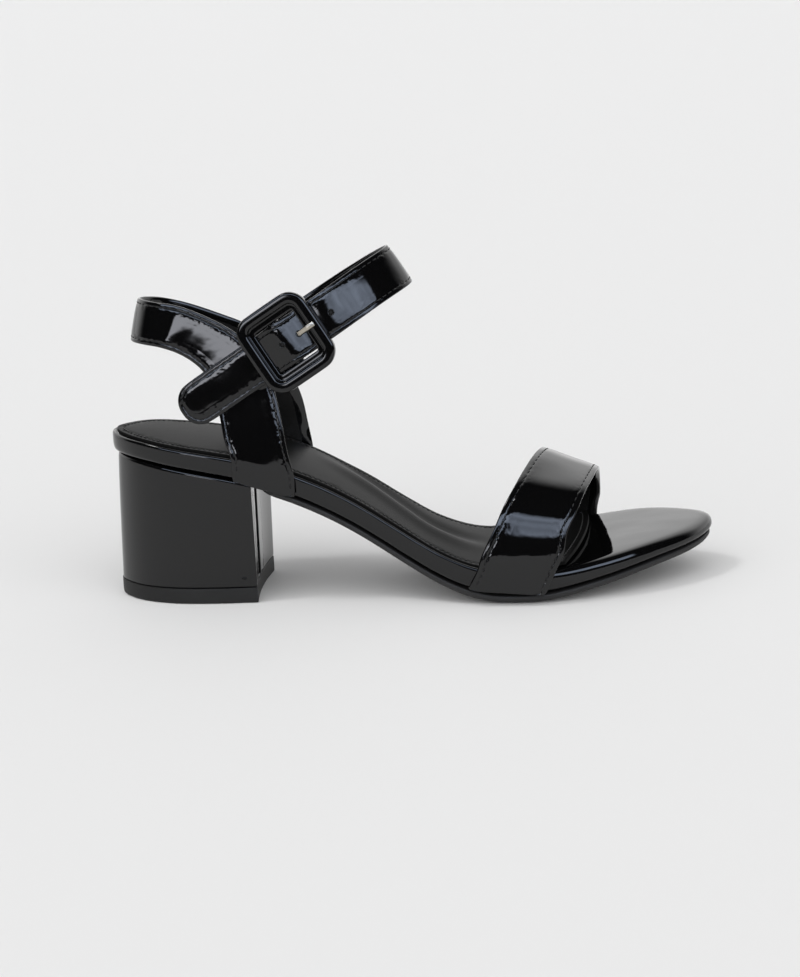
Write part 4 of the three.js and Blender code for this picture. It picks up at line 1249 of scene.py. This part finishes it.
def light_box(tree, angles, azimuth, elevation, width, height, strength, soft):
    """A soft-edged box of light seen in a direction. All angles are in degrees."""
    box = strength
    for angle, middle, size in zip(angles, (azimuth, elevation), (width, height)):
        for end in (-1, 1):
            edge = middle + end * size / 2
            fall = soft_edge(tree, angle, edge + end * soft, edge - end * soft)
            box = add_math(tree, "MULTIPLY", box, fall)
    return box


# Azimuth, elevation, width and height in degrees, strength, and half the soft edge in degrees
BOXES = {
    "low": (-21, 9.5, 11.5, 7, 7.0, 1), "right": (25.5, 25.5, 55, 21, 4.5, 2),
    "left": (-24, 29.5, 44, 13, 4.7, 1.5), "key": (-69, 57, 12, 10, 26.0, 3),
}
BEHIND_LIGHT, UPPER_LIGHT = 1.3, 0.9
FRONT_LIGHT, AROUND_LIGHT = 1.3, 0.4
CLOUD_SCALE, CLOUD_SHARE, CLOUD_BASE = 7, 1.6, 0.2
WHITE, PALE_BLUE, SKY_BLUE = (1, 1, 1), (0.9, 0.92, 1.0), (0.68, 0.79, 1.0)
PAPER = (0.85, 0.85, 0.86)
world = bpy.data.worlds.new("surroundings")
bpy.context.scene.world = world
world.use_nodes = True
sky = world.node_tree
sky.nodes.clear()
direction = add_node(sky, "TexCoord").outputs["Generated"]
split = add_node(sky, "SeparateXYZ", Vector=direction)
towards = add_math(sky, "MULTIPLY", split.outputs["Y"], -1)
azimuth = add_math(sky, "ARCTAN2", split.outputs["X"], towards)
elevation = add_math(sky, "ARCSINE", split.outputs["Z"], 0)
angles = [add_math(sky, "MULTIPLY", turn, math.degrees(1)) for turn in (azimuth, elevation)]
backdrop = soft_edge(sky, split.outputs["Y"], 0.0, 0.5)
upper = add_math(sky, "MULTIPLY", soft_edge(sky, split.outputs["Z"], 0.3, 0.7), UPPER_LIGHT)
backdrop = add_math(sky, "MULTIPLY", backdrop, add_math(sky, "ADD", upper, BEHIND_LIGHT))
boxes = {name: light_box(sky, angles, *row) for name, row in BOXES.items()}
cloud = add_math(sky, "MULTIPLY", add_noise(sky, direction, CLOUD_SCALE), CLOUD_SHARE)
cloud = add_math(sky, "ADD", cloud, CLOUD_BASE)
high = add_math(sky, "MULTIPLY", add_math(sky, "ADD", boxes["right"], boxes["left"]), cloud)
print("boxes of light:", ", ".join(boxes))

# %% Light for each kind of ray
def add_background(tree, color, strength):
    return add_node(tree, "Background", Color=(*color, 1), Strength=strength).outputs[0]


def add_pair(tree, kind, first, second, **inputs):
    """Adds or mixes two shaders, which are a node's last two inputs."""
    node = add_node(tree, kind, **inputs)
    feed(tree, node.inputs[-2], first)
    feed(tree, node.inputs[-1], second)
    return node.outputs[0]


mirrored = add_background(sky, WHITE, backdrop)
for color, strength in ((PALE_BLUE, boxes["low"]), (SKY_BLUE, high), (WHITE, boxes["key"])):
    mirrored = add_pair(sky, "AddShader", mirrored, add_background(sky, color, strength))
front = add_math(sky, "MULTIPLY", soft_edge(sky, split.outputs["Y"], 0.2, -0.6), FRONT_LIGHT)
dome = add_background(sky, WHITE, add_math(sky, "ADD", front, AROUND_LIGHT))
lit = add_pair(sky, "AddShader", dome, add_background(sky, WHITE, boxes["key"]))
seen = add_background(sky, PAPER, 1.0)
for label, shown in (("Is Glossy Ray", mirrored), ("Is Camera Ray", seen)):
    rays = add_node(sky, "LightPath").outputs[label]
    lit = add_pair(sky, "MixShader", lit, shown, Fac=rays)
add_node(sky, "OutputWorld", Surface=lit)
print("surroundings:", len(sky.nodes), "nodes")
bpy.context.scene.view_settings.view_transform = "Standard"

# %% [markdown]
# ## Size of the dressed shoe and finish
# The dressed shoe should fill the same box as its solids, so its box is written down.

# %% Write the dressed shoe's box and finish
low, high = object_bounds()
print("visual box in mm:", [round(v * 1000, 1) for v in (*low, *high)])
